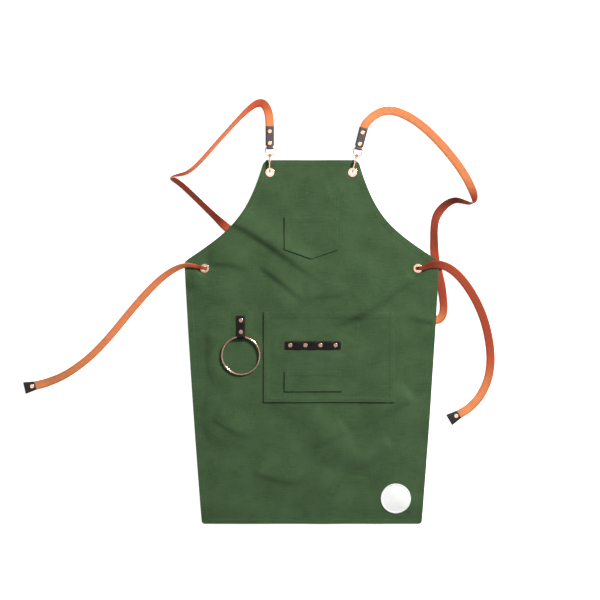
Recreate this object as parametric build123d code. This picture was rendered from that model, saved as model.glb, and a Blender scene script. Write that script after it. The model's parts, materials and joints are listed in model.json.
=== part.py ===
from build123d import *
import os
from math import atan2, cos, degrees, radians, sin, sqrt, tan

# A cross-back work apron, lying face up on a table with its straps spread out.
# Millimetres. +X is the right-hand side as seen from the front, +Y runs up to the bib, +Z is away from the
# table. The origin is on the table, under the middle of the cloth panel.

# ---- Cloth panel ----
PANEL_LENGTH = 850.0
CLOTH = 0.9                # canvas
HEM_WIDTH = 12.0           # turned hem that the panel rests on
BIB_HALF_WIDTH = 113.0     # at the bib's upper corners
BIB_CORNER = (19.0, 14.0)  # how much of each upper corner is folded away, across and down
WAIST_HALF_WIDTH = 295.0
WAIST_DROP = 237.0         # bib edge down to the waist corner
HEM_HALF_WIDTH = 254.0
SIDE_BOW = 2.5             # how far the side seam bows out
ARMHOLE_TOP = (140.0, 73.5)    # handle of the armhole curve at the bib: length, and angle below level
ARMHOLE_WAIST = (120.0, 34.5)  # handle of the armhole curve at the waist
CORNER_RADIUS = 8.0
SIDE_HEM_TOP = 20.0        # the side hems reach the table below this height
BIB_HEM_HALF = 78.0        # and the bib's hem within this half width

# ---- Eyelets ----
EYELET_RADIUS = 10.75
EYELET_HOLE = 5.75
EYELET_TUBE = 0.8          # wall of the eyelet's tube
EYELET_CROWN = 0.9         # height of the rim above the cloth
WASHER_RADIUS = 10.0
WASHER = 0.5
BIB_EYELET = (96.5, 29.0)      # from the centre line, and below the bib's edge
WAIST_EYELET = (46.0, 16.0)    # in from the waist corner, and below it
FIT = 0.1                  # clearance round tubes and rivet posts

# ---- Pockets, tool strip, patch: places are of their centre line and top edge ----
CHEST_POCKET = dict(x=0.0, top=292.0, width=125.0, side=76.0, point=22.0)
HIP_POCKET = dict(x=41.5, top=70.5, width=305.0, height=211.0)
TOOL_POCKET = dict(x=4.7, top=-67.2, width=134.0, height=48.0)
SEAM = 9.0                 # sewn margin of a pocket
HIP_POUCH = 1.0            # space inside a pocket that lies flat
SMALL_POUCH = 0.6
LEATHER = 1.6
LOOP_LEATHER = 1.4
TOOL_STRIP = dict(x=4.0, y=-7.5, length=130.0, width=20.0, pitch=35.2)
PATCH = dict(x=197.3, y=-365.5, radius=35.0, thick=0.8)

# ---- Rivets: a domed cap with a post, and a base cap ----
CAP_RADIUS = 5.2
CAP_HEIGHT = 1.3
POST_RADIUS = 1.6
BASE_RADIUS = 4.6
BASE_HEIGHT = 0.8

# ---- Towel ring in its leather loop ----
RING_RADIUS = 44.0         # to the middle of the wire
RING_WIRE = 4.8
RING_LOOP = dict(x=-164.0, fold=7.5, length=54.0, width=19.6)
LOOP_ROOM = 0.15           # clearance of the curved wire in the straight loop
LOOP_RIVETS = (11.0, 38.0)     # from the loop's upper end

# ---- Snap hooks, measured from the eyelet's centre towards the strap ----
HOOK_WIRE = 3.0
HOOK_FLOOR = 0.05          # gap between the hook and the table
HOOK_UNDER = 0.25          # gap between the hook and the washer above it
HOOK_BACK = 28.5           # centre of the bend beyond the bib's edge
HOOK_HEIGHT = 10.5         # between the two runs of the hook
HOOK_AXIS_Z = 6.0
GATE_PIVOT = 24.5
GATE_LENGTH = 18.4
GATE_WIDTH = 2.0
GATE_THICK = 2.4
GATE_GAP = 0.3
EAR = 0.8                  # thickness of each ear of the hook's fork
FORK_EXTRA = 0.4           # how much thicker the fork is than the wire
FORK_ROUND = 0.9
FORK_ROOM = 0.6            # between the gate's round end and the back of the fork
PIN_RADIUS = 0.8
SPRING_LENGTH = 0.9
NECK_RADIUS = 3.3
SWIVEL_RADIUS = 1.9
SWIVEL_START = 37.4
SWIVEL_BOSS = 4.0
SWIVEL_HEAD = 3.1
D_WIRE = 2.8
D_WIDTH = 19.6             # between the middles of the legs
D_BAR = 57.0
HOOK_LEAN = 14.0           # the right-hand hook leans outwards
RUN_CLEAR = 0.15           # running clearance of the swivel and the pin's ends

# ---- Straps and their leather ends ----
STRAP_WIDTH = 20.0
STRAP_THICK = 1.8
PINCH_WIDTH = 8.4          # folded to pass through an eyelet
PINCH_THICK = 3.0
TAB_WIDTH = 20.0
TAB_END = 107.5            # end of the tab, from the bib eyelet
TAB_EXIT = 4.0             # the strap runs straight this far out of the tab
TAB_RIVETS = (68.0, 95.5)
TAB_STRAP_END = 62.5       # where the strap ends inside the tab
SLOT_CLEAR = 0.05
TIP_LENGTH = 27.0
TIP_WIDTHS = (20.0, 28.0)  # at the strap, and at the outer fold
TIP_OVERLAP = 22.0         # strap held inside the tip
TIP_RIVET = 8.0            # from the tip's mouth

# ---- Worked out from the sizes above ----
PANEL_LIFT = HOOK_FLOOR + HOOK_WIRE + HOOK_UNDER + WASHER  # the cloth lies over the hooks and straps
PANEL_TOP = PANEL_LIFT + CLOTH
BIB_Y = PANEL_LENGTH / 2
WAIST_Y = BIB_Y - WAIST_DROP
BIB_EYE = (BIB_EYELET[0], BIB_Y - BIB_EYELET[1])
WAIST_EYE = (WAIST_HALF_WIDTH - WAIST_EYELET[0], WAIST_Y - WAIST_EYELET[1])
HIP_TOP = PANEL_TOP + HIP_POUCH + CLOTH


def tube_radius():
    return EYELET_HOLE + EYELET_TUBE


def disc(radius, z, height, at=(0.0, 0.0)):
    """A plain upright disc or post, standing on z."""
    return Pos(at[0], at[1], z + height / 2) * Cylinder(radius, height)


def dome(radius, z, height):
    """A rivet's cap: flat underneath, rounded on top."""
    cap = disc(radius, z, height)
    return fillet(cap.edges().group_by(Axis.Z)[-1], height * 0.7)


def rivet(z_low, z_high):
    """Cap with its post, and base cap, clamping what lies between z_low and z_high."""
    cap = dome(CAP_RADIUS, z_high, CAP_HEIGHT) + disc(POST_RADIUS, z_low, z_high - z_low)
    base = disc(BASE_RADIUS, z_low - BASE_HEIGHT, BASE_HEIGHT)
    return cap, base


def post_hole(x, y, z_low, z_high):
    return disc(POST_RADIUS + FIT / 2, z_low, z_high - z_low, (x, y))


# ---- Panel ----
def armhole(side):
    """The armhole's curve, from the bib corner down to the waist corner."""
    start = Vector(side * BIB_HALF_WIDTH, BIB_Y - BIB_CORNER[1])
    end = Vector(side * WAIST_HALF_WIDTH, WAIST_Y)
    top_length, top_angle = ARMHOLE_TOP
    low_length, low_angle = ARMHOLE_WAIST
    top = Vector(side * cos(radians(top_angle)), -sin(radians(top_angle))) * top_length
    low = Vector(side * cos(radians(low_angle)), -sin(radians(low_angle))) * low_length
    return Bezier(start, start + top, end - low, end)


def panel_outline():
    corner_x = BIB_HALF_WIDTH - BIB_CORNER[0]
    middle_x = (WAIST_HALF_WIDTH + HEM_HALF_WIDTH) / 2 + SIDE_BOW
    middle_y = (WAIST_Y - BIB_Y) / 2
    top_edge = Line((-corner_x, BIB_Y), (corner_x, BIB_Y))
    low_edge = Line((-HEM_HALF_WIDTH, -BIB_Y), (HEM_HALF_WIDTH, -BIB_Y))
    edges = [top_edge, low_edge]
    for side in (-1, 1):
        edges.append(Line((side * corner_x, BIB_Y), (side * BIB_HALF_WIDTH, BIB_Y - BIB_CORNER[1])))
        edges.append(armhole(side))
        side_seam = ThreePointArc(
            (side * WAIST_HALF_WIDTH, WAIST_Y), (side * middle_x, middle_y), (side * HEM_HALF_WIDTH, -BIB_Y)
        )
        edges.append(side_seam)
    face = make_face(Curve() + edges)
    rounded = [v for v in face.vertices() if v.Y < WAIST_Y + 1]
    return fillet(rounded, CORNER_RADIUS)


def turned_hem(outline):
    """The thick hem below the cloth: along the foot, up the sides, and at the bib."""
    reach = SIDE_HEM_TOP + 2 * HEM_WIDTH
    lower = outline & (Pos(0, (reach - BIB_Y) / 2) * Rectangle(4 * BIB_Y, reach + BIB_Y))
    band = extrude(lower - offset(lower, -HEM_WIDTH), PANEL_LIFT)
    low_hem = Pos(0, (SIDE_HEM_TOP - BIB_Y) / 2, 0) * Box(4 * BIB_Y, SIDE_HEM_TOP + BIB_Y, 4 * PANEL_LIFT)
    bib_hem = Pos(0, BIB_Y - HEM_WIDTH / 2, PANEL_LIFT / 2) * Box(2 * BIB_HEM_HALF, HEM_WIDTH, PANEL_LIFT)
    return (band & low_hem) + bib_hem


def front_panel():
    """The canvas with its turned hem, which stands the cloth clear of what runs behind it."""
    outline = panel_outline()
    body = Pos(0, 0, PANEL_LIFT) * extrude(outline, CLOTH) + turned_hem(outline)
    for side in (-1, 1):
        for x, y in (BIB_EYE, WAIST_EYE):
            body -= disc(tube_radius() + FIT, PANEL_LIFT, CLOTH, (side * x, y))
    for x, y in loop_rivets():
        body -= post_hole(x, y, PANEL_LIFT, PANEL_TOP)
    return body


def eyelets(at):
    """A pair of eyelets: rim and tube in one piece, and the washers behind the cloth."""
    rim_z = PANEL_TOP
    rims, washers = [], []
    for side in (-1, 1):
        rim = disc(EYELET_RADIUS, rim_z, EYELET_CROWN)
        rim = fillet(rim.edges().group_by(Axis.Z)[-1], EYELET_CROWN * 0.7)
        rim += disc(tube_radius(), PANEL_LIFT - WASHER, rim_z - PANEL_LIFT + WASHER)
        rim -= disc(EYELET_HOLE, 0, 2 * rim_z)
        rims.append(Pos(side * at[0], at[1]) * rim)
        washer = disc(WASHER_RADIUS, PANEL_LIFT - WASHER, WASHER)
        washer -= disc(tube_radius() + FIT / 2, 0, 2 * rim_z)
        washers.append(Pos(side * at[0], at[1]) * washer)
    return rims, washers


# ---- Pockets ----
def pouch(outline, z, room):
    """A patch sewn down along its sides and lower edge, open at the top, lying on z."""
    top = outline.bounding_box().max.Y
    patch = Pos(0, 0, z) * extrude(outline, room + CLOTH)
    inside = offset(outline, -SEAM)
    box = inside.bounding_box()
    mouth = Pos(box.center().X, top - SEAM) * Rectangle(box.size.X, 3 * SEAM)
    return patch - Pos(0, 0, z) * extrude(inside + mouth, room)


def pocket_outline(place):
    return Pos(place["x"], place["top"] - place["height"] / 2) * Rectangle(place["width"], place["height"])


def chest_pocket():
    half = CHEST_POCKET["width"] / 2
    top, low = CHEST_POCKET["top"], CHEST_POCKET["top"] - CHEST_POCKET["side"]
    corners = [(-half, top), (half, top), (half, low), (0, low - CHEST_POCKET["point"]), (-half, low)]
    outline = Pos(CHEST_POCKET["x"], 0) * make_face(Polyline(*corners, close=True))
    return pouch(outline, PANEL_TOP, SMALL_POUCH)


def hip_pocket():
    patch = pouch(pocket_outline(HIP_POCKET), PANEL_TOP, HIP_POUCH)
    for x, y in strip_rivets():
        patch -= post_hole(x, y, PANEL_TOP, HIP_TOP)
    return patch


def tool_pocket():
    return pouch(pocket_outline(TOOL_POCKET), HIP_TOP, SMALL_POUCH)


def strip_rivets():
    pitch = TOOL_STRIP["pitch"]
    return [(TOOL_STRIP["x"] + (n - 1.5) * pitch, TOOL_STRIP["y"]) for n in range(4)]


def tool_strip():
    """Leather strip riveted to the pocket: tools hang between its rivets."""
    plan = RectangleRounded(TOOL_STRIP["length"], TOOL_STRIP["width"], 3)
    strip = Pos(TOOL_STRIP["x"], TOOL_STRIP["y"], HIP_TOP) * extrude(plan, LEATHER)
    for x, y in strip_rivets():
        strip -= post_hole(x, y, HIP_TOP, HIP_TOP + LEATHER)
    return strip


# ---- Towel ring ----
LOOP_INNER = RING_WIRE / 2 + RING_RADIUS - sqrt(RING_RADIUS**2 - (RING_LOOP["width"] / 2) ** 2) + LOOP_ROOM
LOOP_OUTER = LOOP_INNER + LOOP_LEATHER
RING_HINGE = (RING_LOOP["x"], RING_LOOP["fold"] + LOOP_OUTER, PANEL_TOP + LOOP_OUTER)


def loop_rivets():
    top = RING_LOOP["fold"] + RING_LOOP["length"]
    return [(RING_LOOP["x"], top - down) for down in LOOP_RIVETS]


def ring_loop():
    """Leather folded round the ring, both plies riveted to the panel."""
    x, y, z = RING_HINGE
    top = RING_LOOP["fold"] + RING_LOOP["length"]
    length = top - y
    eye = Pos(y, z) * (Circle(LOOP_OUTER) - Circle(LOOP_INNER))
    # The lower ply lies on the panel; the upper one comes down round the eye and lies on it.
    plies = Pos(y + length / 2, PANEL_TOP + LOOP_LEATHER) * Rectangle(length, 2 * LOOP_LEATHER)
    profile = eye + (plies - Pos(y, z) * Circle(LOOP_INNER))
    solid = extrude(Plane.YZ * profile, RING_LOOP["width"] / 2, both=True)
    solid = Pos(x, 0, 0) * solid
    for at_x, at_y in loop_rivets():
        solid -= post_hole(at_x, at_y, PANEL_TOP, PANEL_TOP + 2 * LOOP_LEATHER)
    return solid


def towel_ring():
    """The ring hangs from its hinge line and rests on the panel at its far side."""
    x, y, z = RING_HINGE
    drop = z - (PANEL_TOP + GATE_GAP + RING_WIRE / 2)
    tilt = degrees(atan2(drop, 2 * RING_RADIUS))
    ring = Pos(0, -RING_RADIUS, 0) * Torus(RING_RADIUS, RING_WIRE / 2)
    return Pos(x, y, z) * Rot(tilt, 0, 0) * ring


# ---- Snap hooks: drawn with the eyelet at the origin and the strap towards +Y ----
def hook_places():
    left = Pos(-BIB_EYE[0], BIB_EYE[1], 0)
    right = Pos(BIB_EYE[0], BIB_EYE[1], 0) * Rot(0, 0, -HOOK_LEAN)
    return {"left": left, "right": right}


HOOK_BEND = HOOK_HEIGHT / 2
HOOK_LOW = HOOK_WIRE / 2 + HOOK_FLOOR
HOOK_TOP = HOOK_LOW + HOOK_HEIGHT


def wire(path, radius):
    start = path @ 0
    return sweep(Plane(start, z_dir=path % 0) * Circle(radius), path)


def hook_body():
    """One bent wire: fork, bend beyond the bib, run behind the cloth, and the nose up through the eyelet."""
    middle = HOOK_LOW + HOOK_BEND
    back = CenterArc((0, 0, 0), HOOK_BEND, -90, 180)
    nose = CenterArc((0, 0, 0), HOOK_BEND, 90, 180)
    upright = Plane((0, 0, 0), x_dir=(0, 1, 0), z_dir=(1, 0, 0))
    back = Pos(0, HOOK_BACK, middle) * (upright * back)
    nose = Pos(0, HOOK_BEND, middle) * (upright * nose)
    low_run = Line((0, HOOK_BEND, HOOK_LOW), (0, HOOK_BACK, HOOK_LOW))
    body = wire(nose, HOOK_WIRE / 2) + wire(low_run, HOOK_WIRE / 2) + wire(back, HOOK_WIRE / 2)
    # The fork that carries the gate's pin.
    fork_width = GATE_WIDTH + SPRING_LENGTH + 4 * RUN_CLEAR + 2 * EAR
    fork_start = GATE_PIVOT - GATE_THICK * 0.75
    fork_length = HOOK_BACK + 1.0 - fork_start
    fork = Box(fork_width, fork_length, HOOK_WIRE + FORK_EXTRA)
    fork = Pos(0, fork_start + fork_length / 2, HOOK_TOP) * fork
    fork = fillet(fork.edges().filter_by(Axis.X), FORK_ROUND)
    mouth_length = GATE_PIVOT + GATE_THICK / 2 + GATE_GAP + FORK_ROOM - fork_start
    mouth = Box(fork_width - 2 * EAR, mouth_length, 2 * HOOK_WIRE)
    fork -= Pos(0, fork_start + mouth_length / 2, HOOK_TOP) * mouth
    fork -= Pos(0, GATE_PIVOT, HOOK_TOP) * Rot(0, 90, 0) * Cylinder(PIN_RADIUS, 2 * fork_width)
    body += fork
    # Neck, swivel post and its head.
    neck_start = HOOK_BACK + HOOK_BEND
    for radius, start, end in (
        (NECK_RADIUS, neck_start, SWIVEL_START),
        (SWIVEL_RADIUS, SWIVEL_START, SWIVEL_START + SWIVEL_BOSS + 2 * RUN_CLEAR),
        (SWIVEL_HEAD, SWIVEL_START + SWIVEL_BOSS + 2 * RUN_CLEAR, SWIVEL_START + SWIVEL_BOSS + 2),
    ):
        body += Pos(0, (start + end) / 2, HOOK_AXIS_Z) * Rot(90, 0, 0) * Cylinder(radius, end - start)
    return body


def gate():
    """The sprung lever that closes the hook, from its pin to the nose."""
    bar = Pos(0, GATE_PIVOT - GATE_LENGTH / 2, HOOK_TOP) * Box(GATE_WIDTH, GATE_LENGTH, GATE_THICK)
    lever = bar + Pos(0, GATE_PIVOT, HOOK_TOP) * Rot(0, 90, 0) * Cylinder(GATE_THICK / 2, GATE_WIDTH)
    lever = Pos(-SPRING_LENGTH / 2 - RUN_CLEAR / 2, 0, 0) * lever
    bore = Cylinder(PIN_RADIUS + FIT / 2, 4 * GATE_WIDTH)
    return lever - Pos(0, GATE_PIVOT, HOOK_TOP) * Rot(0, 90, 0) * bore


def gate_pin():
    length = GATE_WIDTH + SPRING_LENGTH + 4 * RUN_CLEAR + 2 * EAR
    return Pos(0, GATE_PIVOT, HOOK_TOP) * Rot(0, 90, 0) * Cylinder(PIN_RADIUS, length)


def gate_spring():
    """The small coil on the pin beside the gate, as a sleeve."""
    coil = Cylinder(PIN_RADIUS + 0.45, SPRING_LENGTH) - Cylinder(PIN_RADIUS + FIT / 2, SPRING_LENGTH)
    return Pos(GATE_WIDTH / 2 + RUN_CLEAR / 2, GATE_PIVOT, HOOK_TOP) * Rot(0, 90, 0) * coil


def swivel_eye():
    """D-shaped wire: a bar through the leather, two legs, and a boss that turns on the hook's post."""
    half = D_WIDTH / 2
    boss_y = SWIVEL_START + RUN_CLEAR + SWIVEL_BOSS / 2
    leg = boss_y + D_WIRE / 2
    points = [(-1.6, boss_y), (-half, leg), (-half, D_BAR), (half, D_BAR), (half, leg), (1.6, boss_y)]
    path = FilletPolyline(*[(x, y, HOOK_AXIS_Z) for x, y in points], radius=[6.0, 1.8, 1.8, 6.0])
    eye = wire(path, D_WIRE / 2)
    boss = Pos(0, boss_y, HOOK_AXIS_Z) * Rot(90, 0, 0) * Cylinder(SWIVEL_RADIUS + 1.7, SWIVEL_BOSS)
    bore = Pos(0, boss_y, HOOK_AXIS_Z) * Rot(90, 0, 0) * Cylinder(SWIVEL_RADIUS + FIT, 3 * SWIVEL_BOSS)
    return eye + boss - bore


# ---- Leather at the two ends of a strap ----
SLOT = STRAP_THICK / 2 + SLOT_CLEAR
PLY_TOP = SLOT + LEATHER


def strap_tab():
    """A folded tab: it goes round the bar of the D and is riveted through the strap's end."""
    eye_inner = D_WIRE / 2 + 0.2
    plies = Rectangle(TAB_END - D_BAR, 2 * PLY_TOP)
    profile = Circle(eye_inner + LEATHER) + Pos((TAB_END - D_BAR) / 2, 0) * plies
    profile -= Circle(eye_inner) + Pos(TAB_END / 2, 0) * Rectangle(TAB_END, 2 * SLOT)
    solid = Pos(0, D_BAR, HOOK_AXIS_Z) * extrude(Plane.YZ * profile, TAB_WIDTH / 2, both=True)
    half_inner = D_WIDTH / 2 - D_WIRE / 2 - 0.5
    for side in (-1, 1):
        notch = Box(TAB_WIDTH, 12, 4 * PLY_TOP)
        solid -= Pos(side * (half_inner + TAB_WIDTH / 2), D_BAR - 3, HOOK_AXIS_Z) * notch
    for y in TAB_RIVETS:
        solid -= post_hole(0, y, HOOK_AXIS_Z - PLY_TOP, HOOK_AXIS_Z + PLY_TOP)
    return solid


def tie_tip():
    """Leather folded over the tie's end, wider at the fold; the tie enters at the origin along +X."""
    fold_radius = PLY_TOP
    straight = TIP_LENGTH - fold_radius
    profile = Pos(straight / 2, 0) * Rectangle(straight, 2 * PLY_TOP)
    profile += Pos(straight, 0) * Circle(fold_radius)
    profile -= Pos(TIP_OVERLAP / 2, 0) * Rectangle(TIP_OVERLAP + 0.6, 2 * SLOT)
    solid = extrude(Plane.XZ * profile, TIP_WIDTHS[1], both=True)
    near, far = TIP_WIDTHS[0] / 2, TIP_WIDTHS[1] / 2
    plan = make_face(Polyline((0, near), (TIP_LENGTH, far), (TIP_LENGTH, -far), (0, -near), close=True))
    solid &= extrude(plan, 3 * PLY_TOP, both=True)
    return solid - post_hole(TIP_RIVET, 0, -PLY_TOP, PLY_TOP)


# ---- Straps ----
# A strap is a flat band. Each point of a route is: x, y, how high its lowest edge stands, its roll in
# degrees (0 lies face up, and more turns the face towards the right-hand side of the way), and its pinch
# (1 is folded to pass an eyelet).
LEFT_TO_WAIST = [
    (-98.0, 527.0, 3.6, 0, 0), (-102.0, 545.0, 0.8, 8, 0), (-114.0, 560.5, 0.2, 40, 0),
    (-135.0, 554.0, 0.2, 72, 0), (-171.0, 519.0, 0.2, 100, 0), (-226.0, 457.5, 0.2, 100, 0),
    (-262.0, 416.0, 0.2, 98, 0), (-288.0, 394.5, 0.2, 90, 0), (-310.0, 389.2, 0.2, 82, 0),
    (-322.5, 387.2, 0.2, 80, 0), (-327.5, 384.4, 0.2, 74, 0), (-325.5, 381.0, 0.2, 64, 0),
    (-317.0, 377.2, 0.2, 56, 0), (-303.0, 367.5, 0.2, 54, 0), (-278.0, 344.5, 0.2, 55, 0),
    (-240.0, 307.3, 0.2, 53, 0), (-217.0, 285.5, 0.1, 38, 0), (-199.0, 268.5, 0.1, 0, 0),
    (-160.0, 238.0, 0.1, 0, 0), (-90.0, 211.0, 0.1, 0, 0), (10.0, 195.0, 0.1, 0, 0),
    (110.0, 182.5, 0.1, 0, 0), (180.0, 176.5, 0.1, 0, 0),
]
RIGHT_TIE = [
    (272.0, 179.0, 5.6, 4, 0.45), (292.0, 182.5, 5.2, 10, 0), (318.0, 176.0, 2.6, 16, 0),
    (343.0, 157.5, 0.2, 24, 0), (369.0, 125.0, 0.2, 28, 0), (393.0, 82.0, 0.2, 30, 0),
    (409.0, 37.0, 0.2, 30, 0), (418.5, -15.0, 0.2, 28, 0), (419.0, -58.0, 0.2, 24, 0),
    (411.0, -95.0, 0.2, 18, 0), (393.0, -130.0, 0.2, 10, 0), (368.5, -155.0, 0.8, 0, 0),
]
RIGHT_TIE_END = (322.0, -182.0)
RIGHT_TO_WAIST = [
    (132.0, 515.5, 4.6, 0, 0), (146.0, 529.0, 2.4, 4, 0), (166.0, 539.5, 0.8, 6, 0),
    (192.0, 541.5, 0.2, 6, 0), (226.0, 528.5, 0.2, 6, 0), (262.0, 504.0, 0.2, 7, 0),
    (303.0, 464.0, 0.2, 8, 0), (342.0, 416.5, 0.2, 9, 0), (368.0, 375.0, 0.2, 14, 0),
    (382.0, 340.0, 0.2, 30, 0), (381.0, 323.0, 0.2, 76, 0), (367.0, 323.5, 0.2, 82, 0),
    (352.0, 328.5, 0.2, 78, 0), (333.0, 332.5, 0.2, 68, 0), (309.0, 318.0, 0.2, 52, 0),
    (291.0, 293.5, 0.2, 42, 0), (286.5, 265.0, 0.2, 40, 0), (286.8, 238.0, 0.2, 30, 0),
    (287.5, 212.0, 0.1, 6, 0), (291.0, 184.0, 0.1, 0, 0), (303.0, 140.0, 0.2, 4, 0),
    (308.0, 103.0, 0.2, 35, 0), (310.0, 76.0, 0.2, 40, 0), (305.0, 57.0, 0.2, 20, 0),
    (293.0, 50.5, 0.1, 2, 0), (264.0, 55.0, 0.1, 0, 0), (222.0, 67.5, 0.1, 0, 0),
    (140.0, 90.0, 0.1, 0, 0), (40.0, 111.0, 0.1, 0, 0), (-108.0, 140.0, 0.1, 0, 0),
    (-196.0, 157.0, 0.1, 0, 0),
]
LEFT_TIE = [
    (-268.0, 176.5, 5.6, 12, 0.45), (-288.0, 180.5, 5.2, 45, 0), (-312.0, 174.5, 3.4, 52, 0),
    (-345.0, 153.5, 0.2, 50, 0), (-380.0, 120.0, 0.2, 48, 0), (-424.0, 69.0, 0.2, 46, 0),
    (-470.0, 12.0, 0.2, 46, 0), (-517.0, -37.0, 0.2, 44, 0), (-573.0, -77.5, 0.2, 36, 0),
    (-620.0, -96.0, 0.2, 16, 0),
]
LEFT_TIE_END = (-670.0, -107.5)
# Through an eyelet: along the way from its centre, height of the lower face, pinch.
THREADING = [(-26.0, 0.1, 0.5), (-1.2, 0.1, 1.0), (3.1, 8.2, 1.0), (14.0, 6.7, 0.8)]


def section_size(pinch):
    width = STRAP_WIDTH + (PINCH_WIDTH - STRAP_WIDTH) * pinch
    thick = STRAP_THICK + (PINCH_THICK - STRAP_THICK) * pinch
    return width, thick


def centre(row):
    """A route's row as a point of the band's centre line."""
    x, y, lift, roll, pinch = row
    width, thick = section_size(pinch)
    return Vector(x, y, lift + width / 2 * abs(sin(radians(roll))) + thick / 2 * abs(cos(radians(roll))))


def thread(eye, before, after):
    """The rows that take a band up through a waist eyelet."""
    way = Vector(after[0] - before[0], after[1] - before[1]).normalized()
    rows = []
    for along, lift, pinch in THREADING:
        rows.append((eye[0] + way.X * along, eye[1] + way.Y * along, lift, 0, pinch))
    return rows


def tip_rows(last, end):
    """The rows that lead a tie into its leather tip, and the tip's own place."""
    way = Vector(end[0] - last[0], end[1] - last[1]).normalized()
    lift = LEATHER + BASE_HEIGHT + SLOT_CLEAR + 0.1
    mouth = (end[0] - way.X * TIP_LENGTH, end[1] - way.Y * TIP_LENGTH)
    rows = []
    for back in (-10.0, TIP_OVERLAP):
        rows.append((mouth[0] + way.X * back, mouth[1] + way.Y * back, lift, 0, 0))
    turn = degrees(atan2(way.Y, way.X))
    place = Pos(mouth[0], mouth[1], lift + STRAP_THICK / 2) * Rot(0, 0, turn)
    return rows, place


def strap_routes():
    """Both bands from their tab to their tip, and where the tips go."""
    left_way = Vector(0, 1)
    right_way = Vector(sin(radians(HOOK_LEAN)), cos(radians(HOOK_LEAN)))
    routes, tips = {}, {}
    sides = {
        "left": (-1, left_way, LEFT_TO_WAIST, 1, RIGHT_TIE, RIGHT_TIE_END),
        "right": (1, right_way, RIGHT_TO_WAIST, -1, LEFT_TIE, LEFT_TIE_END),
    }
    for name, (side, way, first, eye_side, tie, end) in sides.items():
        eye = (side * BIB_EYE[0], BIB_EYE[1])
        rows = []
        for along in (TAB_STRAP_END, TAB_END + TAB_EXIT):
            rows.append((eye[0] + way.X * along, eye[1] + way.Y * along, HOOK_AXIS_Z - STRAP_THICK / 2, 0, 0))
        waist = (eye_side * WAIST_EYE[0], WAIST_EYE[1])
        rows += first + thread(waist, first[-1], tie[0]) + tie
        end_rows, place = tip_rows(tie[-1], end)
        routes[name] = rows + end_rows
        tips[name] = place
    return routes, tips


def blend_rows(a, b, share):
    return tuple(p + (q - p) * share for p, q in zip(a, b))


def strap(name, rows):
    """The band as flat stretches and bends between them, with its section turning along the way."""
    points = [centre(row) for row in rows]
    runs = [points[i + 1] - points[i] for i in range(len(points) - 1)]
    bends = []
    for i in range(1, len(points) - 1):
        turn = runs[i - 1].get_angle(runs[i])
        short = min(runs[i - 1].length, runs[i].length)
        bends.append((0.45 * short, 0.45 * short / tan(radians(turn / 2)), turn))
    print(name, "bend radii", [round(radius) for _, radius, _ in bends])
    # Section places: the two ends, and a few across every bend.
    stations = [(points[0], runs[0].normalized(), rows[0])]
    for i, (reach, radius, turn) in enumerate(bends, start=1):
        before, after = runs[i - 1].normalized(), runs[i].normalized()
        start, end = points[i] - before * reach, points[i] + after * reach
        row_in = blend_rows(rows[i], rows[i - 1], reach / runs[i - 1].length)
        row_out = blend_rows(rows[i], rows[i + 1], reach / runs[i].length)
        arc = ThreePointArc(start, bend_middle(points[i], before, after, radius, turn), end)
        steps = 2 if turn < 25 else 4
        for n in range(steps + 1):
            share = n / steps
            stations.append((arc @ share, arc % share, blend_rows(row_in, row_out, share)))
    stations.append((points[-1], runs[-1].normalized(), rows[-1]))
    wires = [section(*station) for station in stations]
    band = Solid.make_loft(wires, ruled=True)
    length = sum((stations[i + 1][0] - stations[i][0]).length for i in range(len(stations) - 1))
    share = band.volume / (length * STRAP_WIDTH * STRAP_THICK)
    print(name, "strap", round(length), "mm, volume share of its section times its length", round(share, 3))
    return band


def bend_middle(corner, before, after, radius, turn):
    inward = (after - before).normalized()
    return corner + inward * (radius / cos(radians(turn / 2)) - radius)


def section(at, along, row):
    """The band's rectangle across its way, rolled about it."""
    width, thick = section_size(row[4])
    left = Vector(-along.Y, along.X, 0).normalized()
    up = along.cross(left).normalized()
    roll = radians(row[3])
    across = left * cos(roll) + up * sin(roll)
    face_up = up * cos(roll) - left * sin(roll)
    wide, high = across * (width / 2), face_up * (thick / 2)
    corners = [at - wide - high, at + wide - high, at + wide + high, at - wide + high]
    return Wire.make_polygon(corners, close=True)


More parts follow.
